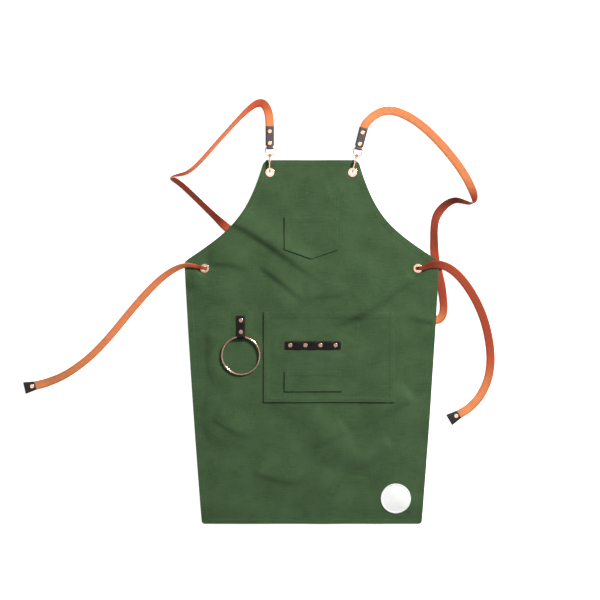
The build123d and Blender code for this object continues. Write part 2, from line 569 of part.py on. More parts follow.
# ---- Build and write ----
def main():
    os.makedirs("parts", exist_ok=True)
    parts = {"front_panel": [front_panel()]}
    for where, at in (("bib", BIB_EYE), ("waist", WAIST_EYE)):
        rims, washers = eyelets(at)
        parts[where + "_eyelets"] = rims
        parts[where + "_eyelet_washers"] = washers

    parts["chest_pocket"] = [chest_pocket()]
    parts["hip_pocket"] = [hip_pocket()]
    parts["tool_pocket"] = [tool_pocket()]
    parts["tool_strip"] = [tool_strip()]
    cap, base = rivet(PANEL_TOP + HIP_POUCH, HIP_TOP + LEATHER)
    parts["tool_strip_rivets"] = [Pos(x, y) * cap for x, y in strip_rivets()]
    parts["tool_strip_rivet_bases"] = [Pos(x, y) * base for x, y in strip_rivets()]
    parts["label_patch"] = [disc(PATCH["radius"], PANEL_TOP, PATCH["thick"], (PATCH["x"], PATCH["y"]))]

    parts["ring_loop"] = [ring_loop()]
    cap, base = rivet(PANEL_LIFT, PANEL_TOP + 2 * LOOP_LEATHER)
    parts["ring_loop_rivets"] = [Pos(x, y) * cap for x, y in loop_rivets()]
    parts["ring_loop_rivet_bases"] = [Pos(x, y) * base for x, y in loop_rivets()]
    parts["towel_ring"] = [towel_ring()]

    routes, tips = strap_routes()
    tab_cap, tab_base = rivet(HOOK_AXIS_Z - PLY_TOP, HOOK_AXIS_Z + PLY_TOP)
    tip_cap, tip_base = rivet(-PLY_TOP, PLY_TOP)
    makers = {"hook": hook_body, "gate": gate, "gate_pin": gate_pin, "gate_spring": gate_spring,
              "swivel_eye": swivel_eye, "strap_tab": strap_tab}
    for name, place in hook_places().items():
        for piece, make in makers.items():
            parts[name + "_" + piece] = [place * make()]
        parts[name + "_tab_rivets"] = [place * Pos(0, y) * tab_cap for y in TAB_RIVETS]
        parts[name + "_tab_rivet_bases"] = [place * Pos(0, y) * tab_base for y in TAB_RIVETS]
        band = strap(name, routes[name])
        for y in TAB_RIVETS:
            band -= place * post_hole(0, y, HOOK_AXIS_Z - PLY_TOP, HOOK_AXIS_Z + PLY_TOP)
        band -= tips[name] * post_hole(TIP_RIVET, 0, -PLY_TOP, PLY_TOP)
        parts[name + "_strap"] = [band]
        parts[name + "_tie_tip"] = [tips[name] * tie_tip()]
        parts[name + "_tip_rivet"] = [tips[name] * Pos(TIP_RIVET, 0) * tip_cap]
        parts[name + "_tip_rivet_base"] = [tips[name] * Pos(TIP_RIVET, 0) * tip_base]

    for node, shapes in parts.items():
        solids = [solid for shape in shapes for solid in shape.solids()]
        export_step(solids[0] if len(solids) == 1 else Compound(children=solids), "parts/" + node + ".step")
    print(len(parts), "nodes")


main()
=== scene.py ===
# %% [markdown]
# # A cross-back work apron, laid flat
# The apron is dark green canvas with orange webbing straps, black leather ends and copper hardware. Its hard
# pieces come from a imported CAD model, which is loaded here as a fixed frame. Blender makes everything soft:
# cloth, webbing, leather and thread, each in the place that the frame gives it. The box of the CAD model is
# kept, so that the finished one can be compared with it.

import json
import math

import bpy
import numpy as np
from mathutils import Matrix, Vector


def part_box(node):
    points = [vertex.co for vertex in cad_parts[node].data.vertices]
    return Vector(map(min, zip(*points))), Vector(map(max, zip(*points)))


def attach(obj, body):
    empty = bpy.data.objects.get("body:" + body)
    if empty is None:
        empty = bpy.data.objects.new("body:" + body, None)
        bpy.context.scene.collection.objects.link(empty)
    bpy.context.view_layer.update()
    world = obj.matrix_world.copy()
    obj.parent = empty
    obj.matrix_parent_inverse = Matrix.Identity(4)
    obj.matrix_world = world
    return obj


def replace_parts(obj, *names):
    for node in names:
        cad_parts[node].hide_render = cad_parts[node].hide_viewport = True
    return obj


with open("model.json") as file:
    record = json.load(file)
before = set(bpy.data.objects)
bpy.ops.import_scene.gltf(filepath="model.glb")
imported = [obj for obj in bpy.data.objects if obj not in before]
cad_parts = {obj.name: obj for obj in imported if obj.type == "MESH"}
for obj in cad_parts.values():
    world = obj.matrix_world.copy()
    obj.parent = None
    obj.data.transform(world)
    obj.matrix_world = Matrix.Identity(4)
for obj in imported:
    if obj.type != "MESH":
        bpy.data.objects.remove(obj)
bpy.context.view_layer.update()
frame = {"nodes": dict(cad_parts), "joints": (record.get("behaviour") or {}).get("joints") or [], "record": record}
MM = 0.001

# %% [markdown]
# ## Writing materials as formulas
# A pattern such as a weave is a formula of a place on the cloth. Blender would have it drawn as a web of Math
# nodes, which is hard to read. The small class below stands for one value in that web. It overloads Python's
# operators, so `0.5 + 0.5 * wave` adds the nodes by itself. `Finish` is a material with one Principled
# shader, and a single method that makes any node.

# %% Values and finishes
class Value:
    """A node's output that Python's operators work on."""

    def __init__(self, finish, socket):
        self.finish, self.socket = finish, socket

    def math(self, operation, *values):
        return self.finish.node("ShaderNodeMath", {"operation": operation}, dict(enumerate(values)))

    def __add__(self, other):
        return self.math("ADD", self, other)

    def __sub__(self, other):
        return self.math("SUBTRACT", self, other)

    def __rsub__(self, other):
        return self.math("SUBTRACT", other, self)

    def __mul__(self, other):
        return self.math("MULTIPLY", self, other)

    __radd__ = __add__
    __rmul__ = __mul__

    def sin(self):
        return self.math("SINE", self)

    def zigzag(self, size):
        return self.math("PINGPONG", self, size)


class Finish:
    """A material: its Principled shader, and the nodes that vary it."""

    def __init__(self, name, **uniform):
        self.material = bpy.data.materials.new(name)
        self.material.use_nodes = True
        self.tree = self.material.node_tree
        self.shader = self.tree.nodes["Principled BSDF"]
        for socket, value in uniform.items():
            self.shader.inputs[socket.replace("_", " ")].default_value = value

    def node(self, kind, settings=None, inputs=None, output=0):
        made = self.tree.nodes.new(kind)
        for key, value in (settings or {}).items():
            setattr(made, key, value)
        for key, value in (inputs or {}).items():
            self.put(made.inputs[key], value)
        return Value(self, made.outputs[output])

    def put(self, socket, value):
        if isinstance(value, Value):
            self.tree.links.new(value.socket, socket)
        else:
            socket.default_value = value

    def set(self, **varying):
        for socket, value in varying.items():
            self.put(self.shader.inputs[socket.replace("_", " ")], value)
        return self

    def mix(self, share, first, second):
        """Two colours mixed; sockets 6 and 7 are the Mix node's colours, and output 2 its colour."""
        return self.node("ShaderNodeMix", {"data_type": "RGBA"}, {0: share, 6: first, 7: second}, 2)

    def place(self, stretch=(1, 1, 1)):
        """The point on the piece, in millimetres, stretched to draw out a pattern."""
        at = self.node("ShaderNodeTexCoord", output="Object")
        scale = [1000 * s for s in stretch]
        return self.node("ShaderNodeVectorMath", {"operation": "MULTIPLY"}, {0: at, 1: scale})

    def parts(self, vector):
        return [self.node("ShaderNodeSeparateXYZ", inputs={0: vector}, output=n) for n in range(3)]

    def noise(self, place, size, detail=3.0):
        """Soft noise from 0 to 1, with blotches of that size in millimetres."""
        inputs = {"Vector": place, "Scale": 1 / size, "Detail": detail}
        return self.node("ShaderNodeTexNoise", inputs=inputs)

    def clamp(self, value, low, high):
        """0 at low, 1 at high."""
        return self.node("ShaderNodeMapRange", inputs={0: value, 1: low, 2: high})

    def bump(self, height, depth):
        """height is from 0 to 1, and depth in millimetres."""
        return self.node("ShaderNodeBump", inputs={"Strength": 1.0, "Distance": depth * MM, "Height": height})

    def from_mesh(self, name):
        """A value that the piece's own vertices carry."""
        return self.node("ShaderNodeAttribute", {"attribute_name": name}, output="Fac")


def colour(red, green, blue):
    return (red, green, blue, 1.0)

# %% [markdown]
# ## Camera, floor and light
# The apron is seen from straight above with a long lens, so that it looks as flat as a pattern on a table.
# One large soft light stands low at the upper right. Low light is what shows cloth: it darkens the side of
# each crease that faces away. A broad overhead light gives the copper and leather something bright to
# reflect, and two small cool ones give the leather a grey sheen. The pale floor shines a little of its own,
# like a light table, which keeps shadows on it faint.

# %% Camera
VIEW_CENTRE = Vector((-0.0262, 0.0981, 0.004))
VIEW_WIDTH = 1.401
LENS, SENSOR = 90.0, 36.0

camera_data = bpy.data.cameras.new("camera")
camera_data.lens, camera_data.sensor_width = LENS, SENSOR
camera = bpy.data.objects.new("camera", camera_data)
camera.location = VIEW_CENTRE + Vector((0, 0, VIEW_WIDTH * LENS / SENSOR))
bpy.context.scene.collection.objects.link(camera)
bpy.context.scene.camera = camera
print("camera height:", round(camera.location.z, 3), "m")

# %% Lights
def softbox(name, place, size, power, tint=(1, 1, 1)):
    """A square light that faces the middle of the apron."""
    data = bpy.data.lights.new(name, "AREA")
    data.size, data.energy, data.color = size, power, tint
    light = bpy.data.objects.new(name, data)
    light.location = place
    light.rotation_euler = (VIEW_CENTRE - Vector(place)).to_track_quat("-Z", "Y").to_euler()
    bpy.context.scene.collection.objects.link(light)


softbox("key_softbox", (2.4, 2.6, 2.4), 0.9, 285, (1.0, 0.985, 0.965))
softbox("upper_softbox", (0.2, 1.0, 5.2), 1.7, 13)
softbox("left_strip", (-1.7, -0.5, 5.0), 0.9, 5, (0.85, 0.92, 1.0))
softbox("right_strip", (1.0, -0.7, 5.0), 0.9, 5, (0.85, 0.92, 1.0))
world = bpy.data.worlds.new("studio")
world.use_nodes = True
world.node_tree.nodes["Background"].inputs["Color"].default_value = (0.93, 0.97, 1.0, 1)
world.node_tree.nodes["Background"].inputs["Strength"].default_value = 0.26
bpy.context.scene.world = world
bpy.context.scene.view_settings.view_transform = "Standard"

# %% Floor
def mesh_piece(name, points, faces, finish=None):
    """An object made from a list of points and a list of faces, smooth to the light."""
    mesh = bpy.data.meshes.new(name)
    mesh.from_pydata(np.asarray(points).tolist(), [], [list(map(int, face)) for face in faces])
    mesh.update()
    mesh.shade_smooth()
    piece = bpy.data.objects.new(name, mesh)
    bpy.context.scene.collection.objects.link(piece)
    if finish:
        mesh.materials.append(finish.material)
    return piece


FLOOR_HALF = 5.0
floor_finish = Finish("pale_floor", Roughness=0.9, Emission_Strength=0.92)
blotches = floor_finish.noise(floor_finish.place(), 400)
pale = floor_finish.mix(blotches, colour(0.84, 0.84, 0.84), colour(0.87, 0.87, 0.87))
floor_finish.set(Base_Color=pale, Emission_Color=pale)
corners = [(x * FLOOR_HALF, y * FLOOR_HALF, 0) for x, y in ((-1, -1), (1, -1), (1, 1), (-1, 1))]
floor = mesh_piece("floor", corners, [(0, 1, 2, 3)], floor_finish)

# %% [markdown]
# ## The two straps
# Each strap is one flat tape, 20 mm wide. It runs from a leather tab at the bib, round behind the panel, up
# through the eyelet at the far side of the waist, and ends as a tie with a leather tip. A tape could be a
# curve with a flat bevel, but it has to lean, turn over on its edge and bunch up in the eyelet. So each point
# of its route also says how far it leans, how much it is bunched, and how much painted shade darkens its
# colour where it is turned away from the light. Three splines with the same number of points are read at
# the same steps: the middle line; the lean, width and thickness; and the painted shade.

# %% Strap routes
# x, y, height of the lower edge (metres), lean to the right-hand side (degrees), bunching (0 to 1),
# painted shade on the tape's colour (0 none, 1 darkest)
LEFT_ROUTE = [
    (-0.0965, 0.4585, 0.0051, 0, 0, 0), (-0.0965, 0.5075, 0.0051, 0, 0, 0),
    (-0.098, 0.527, 0.0036, 0, 0, 0.1), (-0.102, 0.545, 0.0008, -4, 0, 0.35),
    (-0.114, 0.5605, 0.0002, -18, 0, 0.5), (-0.135, 0.554, 0.0002, -50, 0, 0.5),
    (-0.171, 0.519, 0.0002, -67, 0, 0.3), (-0.226, 0.4575, 0.0002, -70, 0, 0.25),
    (-0.262, 0.416, 0.0002, -69, 0, 0.3), (-0.288, 0.3945, 0.0002, -71, 0, 0.3),
    (-0.31, 0.3892, 0.0002, -77, 0, 0.4), (-0.3225, 0.3872, 0.0002, -88, 0, 0.45),
    (-0.3275, 0.3844, 0.0002, -100, 0, 0.5), (-0.3255, 0.381, 0.0002, -112, 0, 0.65),
    (-0.317, 0.3772, 0.0002, -124, 0, 0.72), (-0.303, 0.3675, 0.0002, -128, 0, 0.7),
    (-0.278, 0.3445, 0.0002, -130, 0, 0.7), (-0.24, 0.3073, 0.0002, -132, 0, 0.68),
    (-0.217, 0.2855, 0.0001, -142, 0, 0.68), (-0.199, 0.2685, 0.0001, -180, 0, 0.65),
    (-0.16, 0.238, 0.0001, -180, 0, 0), (-0.09, 0.211, 0.0001, -180, 0, 0),
    (0.01, 0.195, 0.0001, -180, 0, 0), (0.11, 0.1825, 0.0001, -180, 0, 0),
    (0.18, 0.1765, 0.0001, -180, 0, 0.5), (0.223, 0.1713, 0.0001, -180, 0.5, 0.6),
    (0.2478, 0.172, 0.0001, -180, 1, 0.8), (0.2521, 0.1721, 0.0082, -180, 1, 0.9),
    (0.263, 0.1724, 0.0067, -180, 0.8, 1), (0.272, 0.179, 0.0056, -176, 0.45, 1),
    (0.292, 0.1825, 0.0052, -166, 0, 0.9), (0.318, 0.176, 0.0026, -166, 0, 0.66),
    (0.343, 0.1575, 0.0002, -166, 0, 0.62), (0.369, 0.125, 0.0002, -164, 0, 0.62),
    (0.393, 0.082, 0.0002, -162, 0, 0.62), (0.409, 0.037, 0.0002, -160, 0, 0.62),
    (0.4185, -0.015, 0.0002, -160, 0, 0.58), (0.419, -0.058, 0.0002, -162, 0, 0.42),
    (0.411, -0.095, 0.0002, -162, 0, 0.12), (0.393, -0.13, 0.0002, -170, 0, 0),
    (0.3685, -0.155, 0.0008, -180, 0, 0), (0.354, -0.1634, 0.0026, -180, 0, 0),
    (0.3263, -0.1795, 0.0026, -180, 0, 0),
]
RIGHT_ROUTE = [
    (0.1116, 0.4566, 0.0051, 0, 0, 0), (0.1235, 0.5042, 0.0051, 0, 0, 0), (0.132, 0.5155, 0.0046, 0, 0, 0),
    (0.146, 0.529, 0.0024, 4, 0, 0), (0.166, 0.5395, 0.0008, 6, 0, 0), (0.192, 0.5415, 0.0002, 6, 0, 0),
    (0.226, 0.5285, 0.0002, 6, 0, 0), (0.262, 0.504, 0.0002, 7, 0, 0), (0.303, 0.464, 0.0002, 8, 0, 0),
    (0.342, 0.4165, 0.0002, 9, 0, 0), (0.368, 0.375, 0.0002, 10, 0, 0), (0.382, 0.34, 0.0002, 36, 0, 0.35),
    (0.381, 0.323, 0.0002, 84, 0, 0.85), (0.367, 0.3235, 0.0002, 108, 0, 0.85),
    (0.352, 0.3285, 0.0002, 116, 0, 0.88), (0.333, 0.3325, 0.0002, 132, 0, 1),
    (0.309, 0.318, 0.0002, 162, 0, 0.95), (0.291, 0.2935, 0.0002, 202, 0, 0.8),
    (0.2865, 0.265, 0.0002, 214, 0, 0.72), (0.2868, 0.238, 0.0002, 208, 0, 0.72),
    (0.2875, 0.212, 0.0001, 186, 0, 0.74), (0.291, 0.184, 0.0001, 180, 0, 0.76),
    (0.303, 0.14, 0.0002, 184, 0, 0.8), (0.308, 0.103, 0.0002, 204, 0, 0.7),
    (0.31, 0.076, 0.0002, 206, 0, 0.32), (0.305, 0.057, 0.0002, 200, 0, 0.15),
    (0.293, 0.0505, 0.0001, 182, 0, 0), (0.264, 0.055, 0.0001, 180, 0, 0),
    (0.222, 0.0675, 0.0001, 180, 0, 0), (0.14, 0.09, 0.0001, 180, 0, 0), (0.04, 0.111, 0.0001, 180, 0, 0),
    (-0.108, 0.14, 0.0001, 180, 0, 0), (-0.196, 0.157, 0.0001, 180, 0, 0.5),
    (-0.2239, 0.1652, 0.0001, 180, 0.5, 0.6), (-0.2478, 0.1717, 0.0001, 180, 1, 0.75),
    (-0.252, 0.1728, 0.0082, 180, 1, 0.8), (-0.2625, 0.1757, 0.0067, 180, 1, 0.85),
    (-0.268, 0.1765, 0.0056, 168, 0.95, 0.6), (-0.288, 0.1805, 0.0052, 142, 0.68, 0.2),
    (-0.312, 0.1745, 0.0034, 138, 0.3, 0.1), (-0.345, 0.1535, 0.0002, 142, 0.05, 0.1),
    (-0.38, 0.12, 0.0002, 143, 0, 0.1), (-0.424, 0.069, 0.0002, 143, 0, 0.1),
    (-0.47, 0.012, 0.0002, 143, 0, 0.1), (-0.517, -0.037, 0.0002, 144, 0, 0.08),
    (-0.573, -0.0775, 0.0002, 150, 0, 0), (-0.62, -0.096, 0.0002, 166, 0, 0),
    (-0.6339, -0.0992, 0.0026, 180, 0, 0), (-0.6651, -0.1064, 0.0026, 180, 0, 0),
]
STRAP_WIDTH, STRAP_THICK = 20 * MM, 1.8 * MM
BUNCHED_WIDTH, BUNCHED_THICK = 8.4 * MM, 3.0 * MM

# %% Reading a spline
def along_spline(name, points, steps=10):
    """Points along a smooth NURBS spline with these control points."""
    curve = bpy.data.curves.new(name, "CURVE")
    curve.dimensions = "3D"
    spline = curve.splines.new("NURBS")
    spline.points.add(len(points) - 1)
    for point, place in zip(spline.points, points):
        point.co = (*place, 1)
    spline.order_u = 3
    spline.use_endpoint_u = True
    spline.resolution_u = steps
    holder = bpy.data.objects.new(name, curve)
    mesh = bpy.data.meshes.new_from_object(holder)
    read = np.array([v.co for v in mesh.vertices], float)
    bpy.data.objects.remove(holder)
    bpy.data.meshes.remove(mesh)
    bpy.data.curves.remove(curve)
    return read


def smooth(t):
    """0 below 0, 1 above 1, and a soft rise between."""
    t = np.clip(t, 0, 1)
    return t * t * (3 - 2 * t)


def unit(vectors):
    return vectors / np.linalg.norm(vectors, axis=1, keepdims=True)

# %% Sweeping a flat section
def rounded_section(edge):
    """A flat band's section from -1 to 1 across and through, with its edges rounded over that share."""
    across = [1, 1 - 0.3 * edge, 1 - edge, 0.45, 0, -0.45, -1 + edge, -1 + 0.3 * edge]
    through = [0, 0.72, 1, 1, 1, 1, 1, 0.72]
    upper = list(zip(across, through))
    return np.array(upper + [(-a, -t) for a, t in upper])


def swept_band(name, line, across, up, widths, thicks, edge, finish, painted_shade=None):
    """Rings of the section along a line, closed at both ends. Its vertices carry how near the edge they are,
    and the faces a map of the place across and along the band, in metres."""
    section = rounded_section(edge)
    count = len(section)
    shift = across[:, None] * (section[:, :1] * widths[:, None, None] / 2)
    shift = shift + up[:, None] * (section[:, 1:] * thicks[:, None, None] / 2)
    points = (line[:, None] + shift).reshape(-1, 3)
    start = np.arange(len(line) - 1)[:, None] * count
    here, after = np.arange(count), (np.arange(count) + 1) % count
    faces = np.stack([start + here, start + count + here, start + count + after, start + after], -1)
    faces = faces.reshape(-1, 4).tolist()
    ends = [list(range(count)), list(range(len(points) - 1, len(points) - 1 - count, -1))]
    piece = mesh_piece(name, points, faces + ends, finish)
    run = np.concatenate([[0], np.cumsum(np.linalg.norm(np.diff(line, axis=0), axis=1))])
    wide = (np.abs(section[:, 0]) > 1 - edge * 1.01).astype(float)
    edges = piece.data.attributes.new("edge", "FLOAT", "POINT")
    edges.data.foreach_set("value", np.tile(wide, len(line)).astype(np.float32))
    # The painted shade that darkens the tape's colour where its route turns it away from the light.
    if painted_shade is not None:
        shades = piece.data.attributes.new("painted_shade", "FLOAT", "POINT")
        shades.data.foreach_set("value", np.repeat(painted_shade, count).astype(np.float32))
    sideways, forward = section[:, 0] * widths[:, None] / 2, np.repeat(run[:, None], count, 1)
    flat = np.stack([sideways, forward], -1).reshape(-1, 2)
    corner = np.zeros(len(piece.data.loops), np.int32)
    piece.data.loops.foreach_get("vertex_index", corner)
    piece.data.uv_layers.new(name="band").uv.foreach_set("vector", flat[corner].astype(np.float32).ravel())
    return piece

# %% Webbing
def webbing():
    """Cotton tape: a fine herringbone of warp threads, a little uneven, with painted shade in its grooves and
    along the stretches turned from the light.
    """
    sheen = {"Sheen_Weight": 0.04, "Sheen_Roughness": 0.5}
    finish = Finish("orange_webbing", Roughness=0.85, Specular_IOR_Level=0.15, **sheen)
    flat = finish.node("ShaderNodeUVMap", {"uv_map": "band"})
    across, along, _ = finish.parts(flat)
    across, along = across * 1000, along * 1000
    ribs = (along * 3.6 + across.zigzag(2.5) * 3.6).sin() * 0.5 + 0.5
    threads = (across * 7.0).sin() * 0.5 + 0.5
    weave = ribs * 0.65 + threads * 0.35
    wear = finish.noise(finish.place(), 9, 4)
    fuzz = finish.noise(finish.place(), 0.5, 2)
    # Painted shade from the route: it darkens the stretches of tape that are turned away from the light.
    depth = finish.from_mesh("painted_shade")
    worn_orange = finish.mix(finish.clamp(wear, 0.3, 0.7), colour(0.82, 0.268, 0.100), colour(0.92, 0.325, 0.125))
    # Half and full painted shade of the orange, mixed in by that painted shade.
    half_shade = finish.mix(depth * 2, worn_orange, colour(0.66, 0.112, 0.050))
    dark = finish.mix(depth * 2 - 1, half_shade, colour(0.15, 0.023, 0.011))
    # Painted shade: the tape's colour is darkened down in the grooves of its weave.
    woven = finish.mix((1 - weave) * 0.38, dark, colour(0.12, 0.018, 0.009))
    edged = finish.mix(finish.from_mesh("edge") * 0.3, woven, colour(0.35, 0.06, 0.027))
    height = weave * 0.8 + fuzz * 0.2
    return finish.set(Base_Color=edged, Normal=finish.bump(height, 0.16))


WEBBING = webbing()

# %% Laying the straps
def strap_band(name, route):
    rows = np.array(route, float)
    lean = np.radians(rows[:, 3])
    width = STRAP_WIDTH + (BUNCHED_WIDTH - STRAP_WIDTH) * rows[:, 4]
    thick = STRAP_THICK + (BUNCHED_THICK - STRAP_THICK) * rows[:, 4]
    rise = width / 2 * np.abs(np.sin(lean)) + thick / 2 * np.abs(np.cos(lean))
    line = along_spline(name, np.column_stack([rows[:, 0], rows[:, 1], rows[:, 2] + rise]))
    lean, width, thick = along_spline(name, np.column_stack([lean, width, thick])).T
    # The painted shade of each point of the route.
    painted_shade = along_spline(name, np.column_stack([rows[:, 5]] * 3))[:, 0]
    way = unit(np.gradient(line, axis=0))
    left = unit(np.column_stack([-way[:, 1], way[:, 0], np.zeros(len(way))]))
    up = np.cross(way, left)
    turn_c, turn_s = np.cos(lean)[:, None], np.sin(lean)[:, None]
    across, face_way = left * turn_c + up * turn_s, up * turn_c - left * turn_s
    piece = swept_band(name, line, across, face_way, width, thick, 0.09, WEBBING, painted_shade)
    length = np.linalg.norm(np.diff(line, axis=0), axis=1).sum()
    print(name, "is", round(length, 3), "m long")
    return piece, line


left_band, left_line = strap_band("left_strap_band", LEFT_ROUTE)
right_band, right_line = strap_band("right_strap_band", RIGHT_ROUTE)

# %% [markdown]
# ## The panel's outline
# The cloth is cut with a straight bib, armholes that sweep out to the waist, and sides that narrow a little
# to the hem. The outline is the same as the CAD panel's: a straight edge, a Bezier curve, an arc and soft
# corners. Only the right-hand half is drawn, because the left is its mirror image.

# %% Outline
panel_low, panel_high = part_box("front_panel")
BIB_Y, HEM_Y = panel_high.y, panel_low.y
BIB_CORNERS = [(0.105, BIB_Y), (0.1125, BIB_Y - 0.0085)]
WAIST = np.array([panel_high.x, BIB_Y - 0.237])
HEM_HALF = 0.254
SIDE_BOW = 0.0025
ARMHOLE_TOP, ARMHOLE_WAIST = (0.140, 73.5), (0.120, 34.5)


def handle(length, angle):
    return length * np.array([math.cos(math.radians(angle)), -math.sin(math.radians(angle))])


def bezier(a, b, c, d, count=60):
    t = np.linspace(0, 1, count)[:, None]
    return (1 - t) ** 3 * a + 3 * (1 - t) ** 2 * t * b + 3 * (1 - t) * t**2 * c + t**3 * d


def trimmed(line, cut):
    """A line without its last stretch of that length."""
    run = np.concatenate([[0], np.cumsum(np.linalg.norm(np.diff(line, axis=0), axis=1))])
    steps = np.linspace(0, run[-1] - cut, len(line))
    return np.column_stack([np.interp(steps, run, line[:, n]) for n in (0, 1)])


def soft_corner(before, after, cut):
    """Joins two lines that meet, with the corner rounded."""
    corner = before[-1]
    before, after = trimmed(before, cut), trimmed(after[::-1], cut)[::-1]
    t = np.linspace(0, 1, 9)[1:-1, None]
    bend = (1 - t) ** 2 * before[-1] + 2 * (1 - t) * t * corner + t**2 * after[0]
    return np.vstack([before, bend, after])


start = np.array(BIB_CORNERS[1])
armhole = bezier(start, start + handle(*ARMHOLE_TOP), WAIST - handle(*ARMHOLE_WAIST), WAIST)
side_y = np.linspace(WAIST[1], HEM_Y, 60)
side_t = (side_y - HEM_Y) / (WAIST[1] - HEM_Y)
side_x = HEM_HALF + (WAIST[0] - HEM_HALF) * side_t + 4 * SIDE_BOW * side_t * (1 - side_t)
side = np.column_stack([side_x, side_y])
hem = np.column_stack([np.linspace(HEM_HALF, 0, 30), np.full(30, HEM_Y)])
right_half = soft_corner(soft_corner(armhole, side, 5 * MM), hem, 8 * MM)
right_half = np.vstack([[(0, BIB_Y)], BIB_CORNERS[:1], right_half])
SPREAD = {1: 4 * MM, -1: 1.5 * MM}


def laid(line, turn):
    """One side of the outline as it lies: below the armhole the cloth spreads a little."""
    extra = SPREAD[turn] * smooth((0.3 - line[:, 1]) / 0.12)
    return np.column_stack([turn * (line[:, 0] + extra * (line[:, 0] > HEM_HALF / 2)), line[:, 1]])


outline = np.vstack([laid(right_half, 1), laid(right_half, -1)[::-1]])
span = right_half[(right_half[:, 1] > HEM_Y) | (right_half[:, 0] > HEM_HALF - 8.5 * MM)][1:]

# %% [markdown]
# ## How the cloth lies
# Nothing pulls on this cloth, so a physics simulation would only return a flat sheet. What shapes it are the
# straps beneath, which push up soft ridges, and creases left from folding. Each is written as a ridge along
# a short line, and slow ripples are added between. Round rivets, eyelets and the ring the cloth is held
# flat, at the height the CAD gives it. One function returns the height of the cloth anywhere, and pockets,
# leather and thread all ask it where to lie.

# %% Heights
def distance_to(x, y, line):
    """How far each point is from a line of points."""
    best = np.full(np.shape(x), np.inf)
    for a, b in zip(line[:-1], line[1:]):
        step = np.subtract(b, a)
        t = np.clip(((x - a[0]) * step[0] + (y - a[1]) * step[1]) / max(step @ step, 1e-12), 0, 1)
        best = np.minimum(best, np.hypot(x - a[0] - t * step[0], y - a[1] - t * step[1]))
    return best


def pair_of(node):
    """The middles of the two round pieces of a node, left and right."""
    low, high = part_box(node)
    radius = (high.y - low.y) / 2
    return [(-high.x + radius, low.y + radius), (high.x - radius, low.y + radius)]


CLOTH = 0.9 * MM
PANEL_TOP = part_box("bib_eyelets")[1].z - 0.9 * MM
HEM_FOLD, HEM_THICK = 12.5 * MM, 2.1 * MM
BIB_EYES, WAIST_EYES = pair_of("bib_eyelets"), pair_of("waist_eyelets")
strip_low, strip_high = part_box("tool_strip")
loop_low, loop_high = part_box("ring_loop")
ring_low, ring_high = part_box("towel_ring")
strip_y, loop_x = (strip_low.y + strip_high.y) / 2, (loop_low.x + loop_high.x) / 2
ring_centre = (loop_x, (ring_low.y + ring_high.y) / 2)
# lines along which the cloth is held flat, how wide, and how far it takes to be free
HELD = [([at, at], 11.5 * MM, 9 * MM) for at in BIB_EYES + WAIST_EYES]
HELD.append(([(strip_low.x, strip_y), (strip_high.x, strip_y)], 11 * MM, 22 * MM))
HELD.append(([(loop_x, loop_low.y), (loop_x, loop_high.y)], 13 * MM, 20 * MM))
HELD.append(([ring_centre, ring_centre], 50 * MM, 18 * MM))
# ridges: line, how broad, how high
RIDGES = [
    ([(0.250, 0.162), (0.222, 0.146), (0.165, 0.104), (0.105, 0.066), (0.010, 0.030)], 12 * MM, 8.6 * MM),
    ([(-0.200, 0.290), (-0.150, 0.266), (-0.088, 0.226), (-0.014, 0.172), (0.040, 0.140)], 12 * MM, 6.0 * MM),
    ([(-0.120, 0.186), (-0.062, 0.140), (-0.010, 0.098), (0.020, 0.086)], 12 * MM, 4.4 * MM),
    ([(-0.246, 0.190), (-0.185, 0.188), (-0.130, 0.166)], 12 * MM, 3.9 * MM),
    ([(-0.254, 0.164), (-0.270, 0.150), (-0.288, 0.116)], 10 * MM, 5.6 * MM),
    ([(0.240, -0.122), (0.185, -0.148), (0.118, -0.186)], 13 * MM, 5.2 * MM),
    ([(0.085, -0.196), (0.030, -0.226), (-0.030, -0.250)], 11 * MM, 4.2 * MM),
    ([(0.190, -0.232), (0.120, -0.276), (0.062, -0.306)], 14 * MM, 3.9 * MM),
    ([(-0.140, -0.296), (-0.060, -0.318), (0.020, -0.310)], 15 * MM, 3.4 * MM),
    ([(-0.232, -0.170), (-0.170, -0.206), (-0.110, -0.212)], 14 * MM, 3.4 * MM),
    ([(-0.020, 0.110), (0.060, 0.118), (0.120, 0.140)], 14 * MM, 3.1 * MM),
    ([(-0.230, 0.030), (-0.232, -0.060), (-0.206, -0.130)], 14 * MM, 3.1 * MM),
    ([(0.292, 0.050), (0.250, 0.058), (0.200, 0.072)], 11 * MM, 3.1 * MM),
    ([(0.050, 0.355), (-0.010, 0.330), (-0.060, 0.322)], 16 * MM, 2.3 * MM),
]
RIPPLE_RANDOM = np.random.default_rng(7)
RIPPLE = 0.0034
RIPPLES = [
    (RIPPLE_RANDOM.uniform(0.055, 0.24), RIPPLE_RANDOM.uniform(0, math.pi), RIPPLE_RANDOM.uniform(0, 6.28))
    for _ in range(22)
]


def ridge(x, y, line, broad, high):
    """A crease along a line: steep below and to the left, gentle above and to the right, low at its ends."""
    best = np.full(np.shape(x), np.inf)
    place, side = np.zeros(np.shape(x)), np.zeros(np.shape(x))
    steps = [np.subtract(b, a) for a, b in zip(line[:-1], line[1:])]
    lengths = [np.linalg.norm(step) for step in steps]
    for n, (a, step) in enumerate(zip(line[:-1], steps)):
        t = ((x - a[0]) * step[0] + (y - a[1]) * step[1]) / lengths[n] ** 2
        t = np.clip(t, 0, 1)
        off_x, off_y = x - a[0] - t * step[0], y - a[1] - t * step[1]
        away = np.hypot(off_x, off_y)
        nearer = away < best
        best = np.where(nearer, away, best)
        place = np.where(nearer, sum(lengths[:n]) + t * lengths[n], place)
        side = np.where(nearer, off_x + off_y, side)
    share = place / sum(lengths)
    taper = smooth(share / 0.14) * smooth((1 - share) / 0.5)
    spread = broad * (1.5 + 0.9 * np.tanh(side / broad))
    return high * taper * np.exp(-((best / spread) ** 2))


